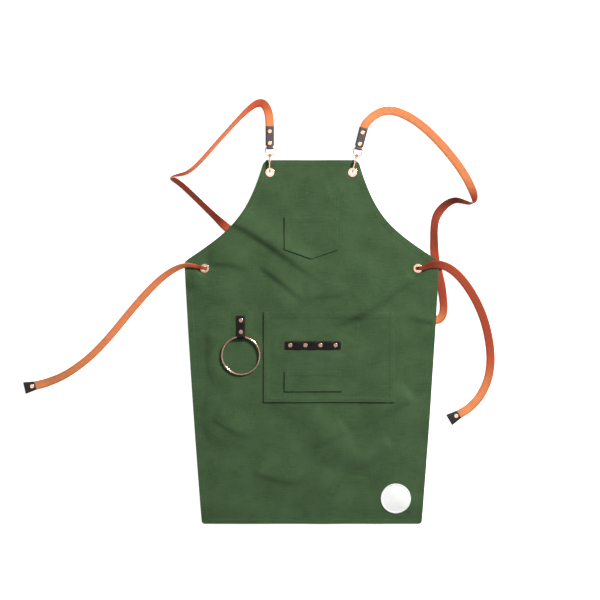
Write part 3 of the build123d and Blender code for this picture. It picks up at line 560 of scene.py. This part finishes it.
# the runs of the straps behind the panel; the least height of the cloth's face on the table, how much higher
# that is over a strap, how far the step spreads, and how softly the cloth settles
STRAPS_BENEATH = [[row[:2] for row in LEFT_ROUTE[18:27]], [row[:2] for row in RIGHT_ROUTE[20:35]]]
REST_TOP, STRAP_STEP, STEP_SPREAD, SOFTEN = HEM_THICK + 0.45 * MM, 0.7 * MM, 14 * MM, 0.5 * MM


def free(x, y):
    """0 where the cloth is held flat, 1 where it is free to rise and fall."""
    share = np.ones(np.shape(x))
    for line, flat, fade in HELD:
        share = share * smooth((distance_to(x, y, line) - flat) / fade)
    return share


def lie(x, y):
    """How far the cloth rises or sinks from the height at which it is held."""
    height = np.zeros(np.shape(x))
    for length, angle, phase in RIPPLES:
        wave = 2 * math.pi / length
        height = height + RIPPLE * length * np.sin(wave * (x * math.cos(angle) + y * math.sin(angle)) + phase)
    for line, broad, high in RIDGES:
        height = height + ridge(x, y, line, broad, high)
    return height * free(x, y)


def lowest(x, y):
    """The least height of the cloth's upper face, where it touches the table or a strap beneath."""
    strap = np.minimum(*[distance_to(x, y, line) for line in STRAPS_BENEATH])
    return REST_TOP + STRAP_STEP * (1 - smooth((strap - STRAP_WIDTH / 2) / STEP_SPREAD))


def panel_height(x, y, edge=None):
    """The upper face of the panel: it falls towards the table at its edges, and the turned hem is thicker."""
    edge = distance_to(x, y, outline) if edge is None else edge
    falls = smooth((0.06 - y) / 0.12) * 1.5 * MM + 0.3 * MM
    fall = falls * (1 - smooth(edge / (45 * MM))) * free(x, y)
    fold = (1 - smooth((edge - HEM_FOLD) / (1.6 * MM))) * 0.45 * MM
    stitch_dip = 0.22 * MM * np.exp(-(((edge - HEM_FOLD + 2 * MM) / (1.1 * MM)) ** 2))
    height = PANEL_TOP + lie(x, y) - fall + fold * free(x, y)
    least = lowest(x, y)
    return (height + least + np.hypot(height - least, SOFTEN)) / 2 - stitch_dip


print("the cloth lies", round(PANEL_TOP / MM, 2), "mm above the table at its eyelets")

# %% [markdown]
# ## Canvas
# Heavy canvas is a plain weave: each thread goes over one and under the next. The product of two sine waves
# makes that chequer of small humps. Threads are uneven, so long thin noise, stretched first one way and
# then the other, draws the slubs. The dye is worn a little paler on raised edges, and slow blotches keep
# the colour from looking printed.

# %% Canvas finish
def canvas(name):
    finish = Finish(name, Roughness=0.92, Specular_IOR_Level=0.12, Sheen_Weight=0.03, Sheen_Roughness=0.6)
    at = finish.place()
    x, y, _ = finish.parts(at)
    pitch = math.pi / 0.75
    weave = (x * pitch).sin() * (y * pitch).sin() * 0.5 + 0.5
    weft = finish.noise(finish.place((0.035, 1.3, 1)), 1.1, 3)
    warp = finish.noise(finish.place((1.3, 0.05, 1)), 1.1, 3)
    cloud = finish.noise(at, 42, 3)
    grain = finish.noise(at, 2.3, 2)
    slub = finish.clamp(weft * 0.6 + warp * 0.4, 0.36, 0.64)
    dark = colour(0.026, 0.060, 0.019)
    mid = colour(0.043, 0.082, 0.0335)
    pale = colour(0.064, 0.112, 0.051)
    ground = finish.mix(slub, dark, pale)
    ground = finish.mix(finish.clamp(grain, 0.25, 0.75) * 0.5, ground, mid)
    ground = finish.mix(finish.clamp(cloud, 0.35, 0.7) * 0.55, ground, pale)
    rubbed = finish.from_mesh("edge") * finish.clamp(grain, 0.35, 0.65) * 0.55
    worn = finish.mix(rubbed, ground, colour(0.075, 0.115, 0.058))
    height = weave * 0.55 + slub * 0.45
    return finish.set(Base_Color=worn, Normal=finish.bump(height, 0.22))


CANVAS = canvas("green_canvas")

# %% Cloth shells
FINE_STEPS = np.concatenate([[0, 0.25, 0.8], np.arange(1.6, 36, 1.6)]) * MM


def crowded(low, high, steps, count):
    """Places from low to high, close together near both ends, with count even ones between."""
    low, high = np.asarray(low, float), np.asarray(high, float)
    shape = (-1,) + (1,) * low.ndim
    steps = steps.reshape(shape)
    inner = np.linspace(low + steps[-1], high - steps[-1], count + 2)[1:-1]
    return np.concatenate([low + steps, inner, high - steps[::-1]])


def cloth_shell(name, x, y, top, bottom, worn, finish):
    """A closed piece of cloth from a grid of places, with its upper and lower heights; the two meet round
    the rim. worn says how much each place is rubbed."""
    rows, columns = x.shape
    rim = np.ones(x.shape, bool)
    rim[1:-1, 1:-1] = False
    middle = (top + bottom) / 2
    upper = np.stack([x, y, np.where(rim, middle, top)], -1).reshape(-1, 3)
    lower = np.stack([x, y, bottom], -1).reshape(-1, 3)
    above = np.arange(rows * columns).reshape(rows, columns)
    below = np.where(rim, above, above + rows * columns)

    def quads(grid):
        return np.stack([grid[:-1, :-1], grid[:-1, 1:], grid[1:, 1:], grid[1:, :-1]], -1).reshape(-1, 4)

    faces = np.vstack([quads(above), quads(below)[:, ::-1]])
    used, faces = np.unique(faces, return_inverse=True)
    piece = mesh_piece(name, np.vstack([upper, lower])[used], faces.reshape(-1, 4), finish)
    rubbed = np.concatenate([worn.ravel(), worn.ravel()])[used]
    piece.data.attributes.new("edge", "FLOAT", "POINT").data.foreach_set("value", rubbed.astype(np.float32))
    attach(piece, "root")
    return piece

# %% Panel
panel_y = crowded(HEM_Y, BIB_Y, FINE_STEPS, 190)
sides = [np.interp(panel_y, span[::-1, 1], laid(span, turn)[::-1, 0]) for turn in (-1, 1)]
panel_x = crowded(*sides, FINE_STEPS, 112).T
panel_y = np.repeat(panel_y[:, None], panel_x.shape[1], 1)
panel_edge = distance_to(panel_x, panel_y, outline)
panel_z = panel_height(panel_x, panel_y, panel_edge)
panel_thick = CLOTH + (HEM_THICK - CLOTH) * (1 - smooth((panel_edge - HEM_FOLD) / (1.6 * MM)))
panel_worn = np.exp(-((panel_edge / (1.2 * MM)) ** 2))
panel = cloth_shell("apron_panel", panel_x, panel_y, panel_z, panel_z - panel_thick, panel_worn, CANVAS)
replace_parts(panel, "front_panel")
print("panel mesh:", len(panel.data.polygons), "faces")

# %% Eyelet holes
def punch(piece, places, radius, low=-0.01, high=0.03, sides=48):
    """Cuts round holes through a piece."""
    points, faces = [], []
    for x, y in places:
        start = len(points)
        for z in (low, high):
            for n in range(sides):
                angle = 2 * math.pi * n / sides
                points.append((x + radius * math.cos(angle), y + radius * math.sin(angle), z))
        for n in range(sides):
            after = (n + 1) % sides
            faces.append((start + n, start + after, start + sides + after, start + sides + n))
        faces.append(range(start + sides - 1, start - 1, -1))
        faces.append(range(start + sides, start + 2 * sides))
    cutter = mesh_piece("cutter", points, faces)
    cut = piece.modifiers.new("holes", "BOOLEAN")
    cut.operation, cut.object, cut.solver = "DIFFERENCE", cutter, "EXACT"
    made = bpy.data.meshes.new_from_object(piece.evaluated_get(bpy.context.evaluated_depsgraph_get()))
    piece.modifiers.clear()
    piece.data = made
    bpy.data.objects.remove(cutter)


punch(panel, BIB_EYES + WAIST_EYES, 7.6 * MM)
print("panel mesh with its eyelet holes:", len(panel.data.polygons), "faces")

# %% [markdown]
# ## Pockets
# Three patch pockets are sewn on: a pointed one on the bib, a wide one at the hips and a small one on top of
# that. Each has its side and lower edges folded under and sewn down, which makes them thick, and a hemmed
# mouth that stands a little open. Light from the upper right leaves the thin dark line along the left and
# lower edges that makes a pocket readable.

# %% Pocket cloth
POCKET_SEAM = 2.7 * MM


def pocket(name, node, ground, pouch, mouth_hem, point=0.0, spacing=4 * MM):
    """A patch pocket in the place of a CAD pocket, on a ground whose height is given by a function."""
    low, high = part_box(node)
    across = crowded(low.x, high.x, FINE_STEPS[:12], int((high.x - low.x) / spacing))
    middle, half = (low.x + high.x) / 2, (high.x - low.x) / 2
    foot = low.y + point * np.abs(across - middle) / half
    y = crowded(foot, np.full(len(foot), high.y), FINE_STEPS[:14], int((high.y - low.y) / spacing))
    x = np.repeat(across[None], len(y), 0)
    edge = np.minimum(np.minimum(x - low.x, high.x - x), (y - foot) * math.cos(math.atan(point / half)))
    mouth = high.y - y
    open_up = smooth((edge - 7 * MM) / (9 * MM))
    gape = 0.7 * MM * smooth(1 - mouth / (18 * MM)) * smooth((edge - 16 * MM) / (30 * MM))
    base = ground(x, y) + 0.05 * MM
    bottom = base + pouch * open_up + gape
    seam = 1 - smooth((edge - 7 * MM) / (9 * MM))
    hemmed = 1 - smooth((mouth - mouth_hem) / (2 * MM))
    thick = CLOTH + (POCKET_SEAM - CLOTH) * np.maximum(seam, hemmed * 0.3)
    edge_dip = np.exp(-(((edge - 2.2 * MM) / MM) ** 2))
    mouth_dip = np.exp(-(((mouth - mouth_hem + 2 * MM) / MM) ** 2))
    groove = 0.25 * MM * (edge_dip + mouth_dip)
    worn = np.exp(-((np.minimum(edge, mouth) / (0.9 * MM)) ** 2))
    piece = cloth_shell(name, x, y, bottom + thick - groove, bottom, worn, CANVAS)
    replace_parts(piece, node)

    def top(at_x, at_y):
        at_foot = low.y + point * np.abs(at_x - middle) / half
        at_edge = np.minimum(np.minimum(at_x - low.x, high.x - at_x), at_y - at_foot)
        lift = pouch * smooth((at_edge - 7 * MM) / (9 * MM))
        cloth = CLOTH + (POCKET_SEAM - CLOTH) * (1 - smooth((at_edge - 7 * MM) / (9 * MM)))
        return ground(at_x, at_y) + 0.05 * MM + lift + cloth

    print(name, "is", round(1000 * (high.x - low.x)), "by", round(1000 * (high.y - low.y)), "mm")
    return piece, top


CHEST_POINT = 22 * MM
chest, chest_top = pocket("chest_pocket_cloth", "chest_pocket", panel_height, 1.5 * MM, 11 * MM, CHEST_POINT)
hip, hip_top = pocket("hip_pocket_cloth", "hip_pocket", panel_height, 0.95 * MM, 14 * MM)
tool, tool_top = pocket("tool_pocket_cloth", "tool_pocket", hip_top, 1.5 * MM, 9 * MM)

# %% [markdown]
# ## Thread
# A row of stitches could be painted on, but real ones catch the light, so each is a short tube of thread
# whose ends dip into the cloth. All the stitches of one piece are made at once: a small model of one stitch
# is repeated along every seam with array arithmetic, which keeps two thousand of them quick.

# %% Stitches
def thread_finish():
    finish = Finish("green_thread", Roughness=0.6, Sheen_Weight=0.2)
    fibres = finish.noise(finish.place(), 0.35, 2)
    shade = finish.mix(fibres, colour(0.060, 0.098, 0.046), colour(0.115, 0.165, 0.088))
    return finish.set(Base_Color=shade, Normal=finish.bump(fibres, 0.08))


THREAD = thread_finish()
THREAD_THICK = 0.62 * MM
STITCH_PITCH, STITCH_LENGTH = 3.4 * MM, 2.6 * MM
STATIONS = np.array([-1, -0.72, 0, 0.72, 1])
STATION_RISE = np.array([-0.45, 0.1, 0.3, 0.1, -0.45])
STATION_SIZE = np.array([0.5, 0.85, 1, 0.85, 0.5])
STITCH_SIDES = 6


def stitch_tubes(name, middles, ways, lengths, height, finish=THREAD):
    """One small bent tube for each stitch: its middle, its direction and its length."""
    ways = unit(ways)
    sides = np.column_stack([-ways[:, 1], ways[:, 0]])
    spots = middles[:, None] + ways[:, None] * (STATIONS[None, :, None] * lengths[:, None, None] / 2)
    ground = height(spots[..., 0], spots[..., 1]) + STATION_RISE * THREAD_THICK
    angle = 2 * math.pi * np.arange(STITCH_SIDES) / STITCH_SIDES
    radius = STATION_SIZE[None, :, None] * THREAD_THICK / 2
    x = spots[..., None, 0] + sides[:, None, None, 0] * radius * np.cos(angle)
    y = spots[..., None, 1] + sides[:, None, None, 1] * radius * np.cos(angle)
    z = ground[..., None] + radius * np.sin(angle)
    points = np.stack(np.broadcast_arrays(x, y, z), -1).reshape(-1, 3)
    faces = []
    for n in range(len(STATIONS) - 1):
        for k in range(STITCH_SIDES):
            after = (k + 1) % STITCH_SIDES
            ring = n * STITCH_SIDES
            faces.append((ring + k, ring + STITCH_SIDES + k, ring + STITCH_SIDES + after, ring + after))
    faces = np.array(faces)
    size = len(STATIONS) * STITCH_SIDES
    starts = np.arange(len(middles)) * size
    quads = (faces[None] + starts[:, None, None]).reshape(-1, 4).tolist()
    first = [list(range(s, s + STITCH_SIDES)) for s in starts]
    last = [list(range(s + size - 1, s + size - 1 - STITCH_SIDES, -1)) for s in starts]
    piece = mesh_piece(name, points, quads + first + last, finish)
    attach(piece, "root")
    print(name, "has", len(middles), "stitches")
    return piece


SEAM_RANDOM = np.random.default_rng(3)


def seam(line, pitch=STITCH_PITCH):
    """Middles, directions and lengths of the stitches along a line."""
    line = np.asarray(line, float)
    run = np.concatenate([[0], np.cumsum(np.linalg.norm(np.diff(line, axis=0), axis=1))])
    places = np.arange(pitch / 2, run[-1] - pitch / 3, pitch)
    middles = np.column_stack([np.interp(places, run, line[:, n]) for n in (0, 1)])
    ahead = np.column_stack([np.interp(places + 0.5 * MM, run, line[:, n]) for n in (0, 1)])
    skew = SEAM_RANDOM.normal(0, 0.035, len(places))
    ways = unit(ahead - middles + 1e-9)
    ways = ways + np.column_stack([-ways[:, 1], ways[:, 0]]) * skew[:, None]
    return middles, ways, STITCH_LENGTH * SEAM_RANDOM.uniform(0.9, 1.08, len(places))


def bartack(x, y, angle, count=9, long=9 * MM, wide=2.4 * MM):
    """Stitches packed side by side, which lock the end of a seam."""
    way = np.array([math.cos(angle), math.sin(angle)])
    along = np.linspace(-long / 2, long / 2, count)[:, None]
    middles = np.array([x, y]) + along * way
    lean = np.where(np.arange(count) % 2, 0.22, -0.22)[:, None]
    ways = np.array([-way[1], way[0]]) + lean * way
    return middles, ways, np.full(count, wide)


def sew(name, rows, height):
    return stitch_tubes(name, *[np.concatenate(part) for part in zip(*rows)], height)

# %% Sewing the panel and pockets
def inset(line, by):
    """A line moved inwards by a distance, towards the middle of the apron."""
    way = unit(np.gradient(np.asarray(line, float), axis=0))
    inward = np.column_stack([way[:, 1], -way[:, 0]])
    return np.asarray(line) + inward * by


HEM_SEAM = HEM_FOLD - 2 * MM
bib_half = BIB_CORNERS[1][0] - 8 * MM
seam_right = inset(trimmed(right_half[2:], 9 * MM)[:-5], HEM_SEAM)
rows = []
for turn in (1, -1):
    edge_line = seam_right[seam_right[:, 1] < BIB_Y - 22 * MM] * (turn, 1)
    rows.append(seam(edge_line))
for down in (8 * MM, 17 * MM):
    rows.append(seam([(-bib_half, BIB_Y - down), (bib_half, BIB_Y - down)]))
sew("panel_stitches", rows, panel_height)


def pocket_rows(node, mouth_hem, point=0.0, double=True):
    low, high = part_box(node)
    middle = (low.x + high.x) / 2
    rows = []
    for inside in (2.2 * MM, 8.0 * MM) if double else (2.2 * MM,):
        a, b, top = low.x + inside, high.x - inside, high.y - 1.5 * MM
        foot = low.y + point + inside
        rows.append(seam([(a, top), (a, foot), (middle, low.y + inside), (b, foot), (b, top)]))
    mouth_y = high.y - mouth_hem + 2 * MM
    rows.append(seam([(low.x + 9 * MM, mouth_y), (high.x - 9 * MM, mouth_y)]))
    for x in (low.x + 5.2 * MM, high.x - 5.2 * MM):
        rows.append(bartack(x, high.y - 5 * MM, math.pi / 2))
    return rows


DIVIDER_X = 0.1095
hip_low, hip_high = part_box("hip_pocket")
sew("chest_pocket_stitches", pocket_rows("chest_pocket", 11 * MM, CHEST_POINT, double=False), chest_top)
hip_rows = pocket_rows("hip_pocket", 14 * MM)
hip_rows.append(seam([(DIVIDER_X, hip_high.y - 9 * MM), (DIVIDER_X, hip_low.y + 3 * MM)]))
hip_rows.append(bartack(DIVIDER_X, hip_high.y - 5 * MM, math.pi / 2))
sew("hip_pocket_stitches", hip_rows, hip_top)
sew("tool_pocket_stitches", pocket_rows("tool_pocket", 9 * MM, double=False), tool_top)

# %% [markdown]
# ## Leather
# The tabs, tips, towel loop and tool strip are near-black leather about 1.6 mm thick, folded or laid flat.
# All are one idea: a flat section swept along a line. The folded ones go out along the lower ply, round a
# bar or a ring, and back along the upper ply. The cut edges are burnished, so they are browner and
# smoother than the face, which shows pores and fine creases.

# %% Leather finish
def leather(name, inner, outer, gloss):
    finish = Finish(name, Specular_IOR_Level=gloss)
    at = finish.place()
    pores = finish.node("ShaderNodeTexVoronoi", inputs={"Vector": at, "Scale": 1.3})
    crease = finish.noise(finish.place((0.4, 1.6, 1)), 2.2, 4)
    cloud = finish.noise(at, 11, 3)
    face = finish.mix(cloud, inner, outer)
    shade = finish.mix(finish.from_mesh("edge") * 0.6, face, colour(0.035, 0.017, 0.011))
    rough = finish.clamp(crease * 0.5 + cloud * 0.5, 0.2, 0.8) * 0.22 + 0.36
    height = finish.clamp(pores, 0.0, 0.5) * 0.6 + crease * 0.4
    return finish.set(Base_Color=shade, Roughness=rough, Normal=finish.bump(height, 0.09))


LEATHER = leather("black_leather", colour(0.0045, 0.0032, 0.0034), colour(0.011, 0.0078, 0.0082), 0.17)
TIP_LEATHER = leather("tip_leather", colour(0.007, 0.0055, 0.006), colour(0.018, 0.015, 0.0165), 0.55)
# The tabs' leather is painted a lighter grey: partly wear, and partly a painted sheen for the light that the flat
# tabs reflect.
WORN_SHEEN_LEATHER = leather("tab_leather_worn_painted_sheen", colour(0.055, 0.042, 0.043), colour(0.115, 0.088, 0.088), 0.5)
THICK = 1.6 * MM

# %% Folded leather
def leather_band(name, path, origin, along, widths, thick, node, finish=LEATHER):
    """Leather along a path of (distance along, height) from an origin, in an upright plane."""
    path = np.array(path, float)
    along = np.array(along, float)
    line = np.array(origin) + path[:, :1] * along + path[:, 1:] * np.array([0, 0, 1.0])
    across = np.tile(np.cross([0, 0, 1.0], along), (len(line), 1))
    way = unit(np.gradient(line, axis=0))
    up = np.cross(across, way)
    count = len(line)
    widths, thicks = np.broadcast_to(widths, count), np.full(count, thick)
    piece = swept_band(name, line, across, up, widths, thicks, 0.045, finish)
    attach(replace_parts(piece, node), "root")
    return piece


def arc(centre, radius, start, end, count=15):
    angles = np.radians(np.linspace(start, end, count))
    return np.column_stack([centre[0] + radius * np.cos(angles), centre[1] + radius * np.sin(angles)])


def straight(a, b, step=2.5 * MM):
    a, b = np.array(a, float), np.array(b, float)
    count = max(2, int(np.linalg.norm(b - a) / step))
    return a + (b - a) * np.linspace(0, 1, count)[:, None]


PLY = 0.95 * MM + THICK / 2
HOOK_AXIS_Z = 6.0 * MM
BAR_Y, TAB_END = 57 * MM, 107.5 * MM
BAR_RADIUS = 2.4 * MM
NECK_WIDTH, TAB_WIDTH = 15.6 * MM, 20 * MM
HOOK_LEAN = math.radians(14)


def strap_tab(side, eye, lean):
    along = (math.sin(lean), math.cos(lean), 0)
    grip = math.degrees(math.asin(PLY / BAR_RADIUS))
    lower = straight((TAB_END, -PLY), (BAR_Y + 4 * MM, -PLY))
    eye_path = arc((BAR_Y, 0), BAR_RADIUS, -grip, -360 + grip)
    upper = straight((BAR_Y + 4 * MM, PLY), (TAB_END, PLY))
    path = np.vstack([lower, eye_path, upper])
    widths = NECK_WIDTH + (TAB_WIDTH - NECK_WIDTH) * smooth((path[:, 0] - BAR_Y - 4 * MM) / (3 * MM))
    origin = (eye[0], eye[1], HOOK_AXIS_Z)
    name, node = side + "_tab_leather", side + "_strap_tab"
    return leather_band(name, path, origin, along, widths, THICK, node, WORN_SHEEN_LEATHER)


tabs = {"left": strap_tab("left", BIB_EYES[0], 0.0), "right": strap_tab("right", BIB_EYES[1], HOOK_LEAN)}

# %% Tie tips
TIP_LENGTH = 27 * MM
TIP_WIDTHS = (20 * MM, 28 * MM)
TIP_AXIS_Z = 3.45 * MM


def tie_tip(side, route):
    mouth_way = np.subtract(route[-1][:2], route[-2][:2])
    mouth_way = mouth_way / np.linalg.norm(mouth_way)
    mouth = np.array(route[-2][:2]) + mouth_way * 10 * MM
    fold = TIP_LENGTH - PLY - THICK / 2
    lower, upper = straight((0, -PLY), (fold, -PLY)), straight((fold, PLY), (0, PLY))
    path = np.vstack([lower, arc((fold, 0), PLY, -80, 80, 11), upper])
    widths = TIP_WIDTHS[0] + (TIP_WIDTHS[1] - TIP_WIDTHS[0]) * np.clip(path[:, 0] / TIP_LENGTH, 0, 1)
    origin = (*mouth, TIP_AXIS_Z)
    name, node = side + "_tip_leather", side + "_tie_tip"
    return leather_band(name, path, origin, (*mouth_way, 0), widths, THICK, node, TIP_LEATHER)


tips = {"left": tie_tip("left", LEFT_ROUTE), "right": tie_tip("right", RIGHT_ROUTE)}

# %% Towel loop and tool strip
LOOP_THICK = 1.4 * MM
swing = next(j for j in frame["joints"] if j["name"] == "towel_ring_swing")
hinge_y, hinge_z = swing["pos_m"][1:]
loop_radius = hinge_z - PANEL_TOP - LOOP_THICK / 2
loop_top = loop_high.y - hinge_y
under, over = -loop_radius, -loop_radius + LOOP_THICK
loop_path = np.vstack([
    straight((loop_top, under), (1.5 * MM, under)),
    arc((0, 0), loop_radius, -90, -358, 24),
    [(4.65 * MM, -1.5 * MM), (5.4 * MM, over + 0.5 * MM), (6.3 * MM, over + 0.1 * MM)],
    straight((7.5 * MM, over), (loop_top, over)),
])
leather_band(
    "towel_loop_leather", loop_path, (loop_x, hinge_y, hinge_z), (0, 1, 0), loop_high.x - loop_low.x,
    LOOP_THICK, "ring_loop"
)

strip_length = strip_high.x - strip_low.x
end_steps = np.array([0, 0.3, 1, 2, 3]) * MM
even_steps = np.linspace(5 * MM, strip_length - 5 * MM, 56)
strip_along = np.concatenate([end_steps, even_steps, strip_length - end_steps[::-1]])
RIVET_PITCH = 35.2 * MM
from_rivet = (strip_along - strip_length / 2) / RIVET_PITCH + 0.5
inside_rivets = np.abs(strip_along - strip_length / 2) < 1.5 * RIVET_PITCH
arch = np.where(inside_rivets, 0.9 * MM * np.sin(math.pi * from_rivet) ** 2, 0)
from_end = np.minimum(strip_along, strip_length - strip_along)
corner_r = 3 * MM
corner_cut = corner_r - np.sqrt(np.maximum(corner_r**2 - np.maximum(corner_r - from_end, 0) ** 2, 0))
strip_start = (strip_low.x, strip_y, (strip_low.z + strip_high.z) / 2)
leather_band(
    "tool_strip_leather", np.column_stack([strip_along, arch]), strip_start, (1, 0, 0),
    (strip_high.y - strip_low.y) - 2 * corner_cut, THICK, "tool_strip"
)

# %% [markdown]
# ## Label
# A plain round white patch is sewn near the lower right corner. It is a disc of tight twill with an
# overlocked rim of thread, and bears no text or mark.

# %% Patch
def patch_finish():
    finish = Finish("white_twill", Roughness=0.75, Sheen_Weight=0.1)
    x, y, _ = finish.parts(finish.place())
    twill = (x * 5.2 + y * 5.2).sin() * 0.5 + 0.5
    wear = finish.noise(finish.place(), 8, 3)
    face = finish.mix(wear, colour(0.93, 0.935, 0.93), colour(0.97, 0.97, 0.965))
    shade = finish.mix(twill, finish.mix(0.5, face, colour(0.86, 0.86, 0.85)), face)
    return finish.set(Base_Color=shade, Normal=finish.bump(twill, 0.12))


patch_low, patch_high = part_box("label_patch")
patch_radius = (patch_high.x - patch_low.x) / 2
patch_at = ((patch_low.x + patch_high.x) / 2, (patch_low.y + patch_high.y) / 2)
RIM_WIDE, RIM_TURNS = 2.6 * MM, 150
PATCH_SIDES = 2 * RIM_TURNS
rim = patch_radius / MM
# radius and height above the cloth, in millimetres, from the middle out over the rim and under it
patch_profile = [
    (6, 0.75), (12, 0.75), (18, 0.75), (24, 0.75), (30, 0.75), (rim - 2.9, 0.75), (rim - 2.5, 0.95),
    (rim - 1.9, 1.3), (rim - 1.1, 1.35), (rim - 0.4, 1.0), (rim, 0.45), (rim - 0.3, 0.1),
]
turns = 2 * math.pi * np.arange(PATCH_SIDES) / PATCH_SIDES
points = []
for radius, rise in patch_profile:
    x, y = patch_at[0] + radius * MM * np.cos(turns), patch_at[1] + radius * MM * np.sin(turns)
    ridged = 0.12 * MM * np.cos(RIM_TURNS * turns) * (radius * MM > patch_radius - RIM_WIDE) * (rise > 0.5)
    points.append(np.column_stack([x, y, panel_height(x, y) + rise * MM + ridged]))
points = np.vstack(points)
rings = len(patch_profile)
faces = []
for ring in range(rings - 1):
    for n in range(PATCH_SIDES):
        start, after = ring * PATCH_SIDES, (n + 1) % PATCH_SIDES
        faces.append((start + n, start + PATCH_SIDES + n, start + PATCH_SIDES + after, start + after))
faces += [range(PATCH_SIDES), range(rings * PATCH_SIDES - 1, (rings - 1) * PATCH_SIDES - 1, -1)]
patch = mesh_piece("round_patch", points, faces, patch_finish())
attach(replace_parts(patch, "label_patch"), "root")

# %% [markdown]
# ## Copper and steel
# The hooks, rings, rivets and eyelets come from the CAD model with their true shapes, so they only need a
# finish. Rose copper plating is a mirror tinted by the metal, broken by faint polishing marks and a little
# tarnish. A Metallic of 1 makes all of the colour come from reflections.

# %% Metal finishes
def copper():
    finish = Finish("rose_copper", Metallic=1.0)
    at = finish.place()
    tarnish = finish.noise(at, 5, 4)
    marks = finish.noise(finish.place((1, 0.25, 1)), 0.5, 2)
    dulled = finish.clamp(tarnish, 0.35, 0.8) * 0.6
    shade = finish.mix(dulled, colour(0.96, 0.64, 0.48), colour(0.68, 0.36, 0.22))
    rough = tarnish * 0.14 + marks * 0.07 + 0.09
    return finish.set(Base_Color=shade, Roughness=rough, Normal=finish.bump(marks, 0.01))


def steel():
    finish = Finish("plain_steel", Metallic=1.0)
    marks = finish.noise(finish.place(), 0.6, 2)
    shade = finish.mix(marks, colour(0.42, 0.42, 0.43), colour(0.60, 0.60, 0.61))
    return finish.set(Base_Color=shade, Roughness=marks * 0.2 + 0.2)


METALS = {"copper": copper(), "spring_steel": steel()}
for part in frame["record"]["subparts"]:
    metal = METALS.get(part["material_slot"])
    if metal:
        node = frame["nodes"][part["node"]]
        node.data.materials.clear()
        node.data.materials.append(metal.material)
        for face in node.data.polygons:
            face.material_index = 0

# %% [markdown]
# ## The soft pieces in place of the CAD ones
# The frame checks soft goods against what they claim to be. Each strap band takes the place of its CAD
# strap, with its real length given, and the fittings at its ends are listed. For each pocket the cloth that
# it was cut from is worked out: its finished size and the turned edges.

# %% Cords
STRAPS = {"left": (left_band, left_line, 1.53), "right": (right_band, right_line, 1.87)}
FITTINGS = (
    "hook", "gate", "gate_pin", "gate_spring", "swivel_eye", "tab_rivets", "tab_rivet_bases", "tip_rivet",
    "tip_rivet_base"
)
for side, (band, line, length) in STRAPS.items():
    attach(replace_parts(band, side + "_strap"), "root")
    fittings = [frame["nodes"][side + "_" + name] for name in FITTINGS]

# %% Sheets
TURNED, POCKET_TURNED = 20 * MM, 12 * MM
POCKETS = (
    (chest, "chest_pocket", "apron_panel"), (hip, "hip_pocket", "apron_panel"),
    (tool, "tool_pocket", "hip_pocket_cloth"),
)
for piece, node, ground in POCKETS:
    low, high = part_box(node)
    cut = (high.x - low.x + POCKET_TURNED, high.y - low.y + POCKET_TURNED)
    corners_off = (high.x - low.x) * CHEST_POINT / 2 if node == "chest_pocket" else 0
    cut[0] * cut[1] - corners_off
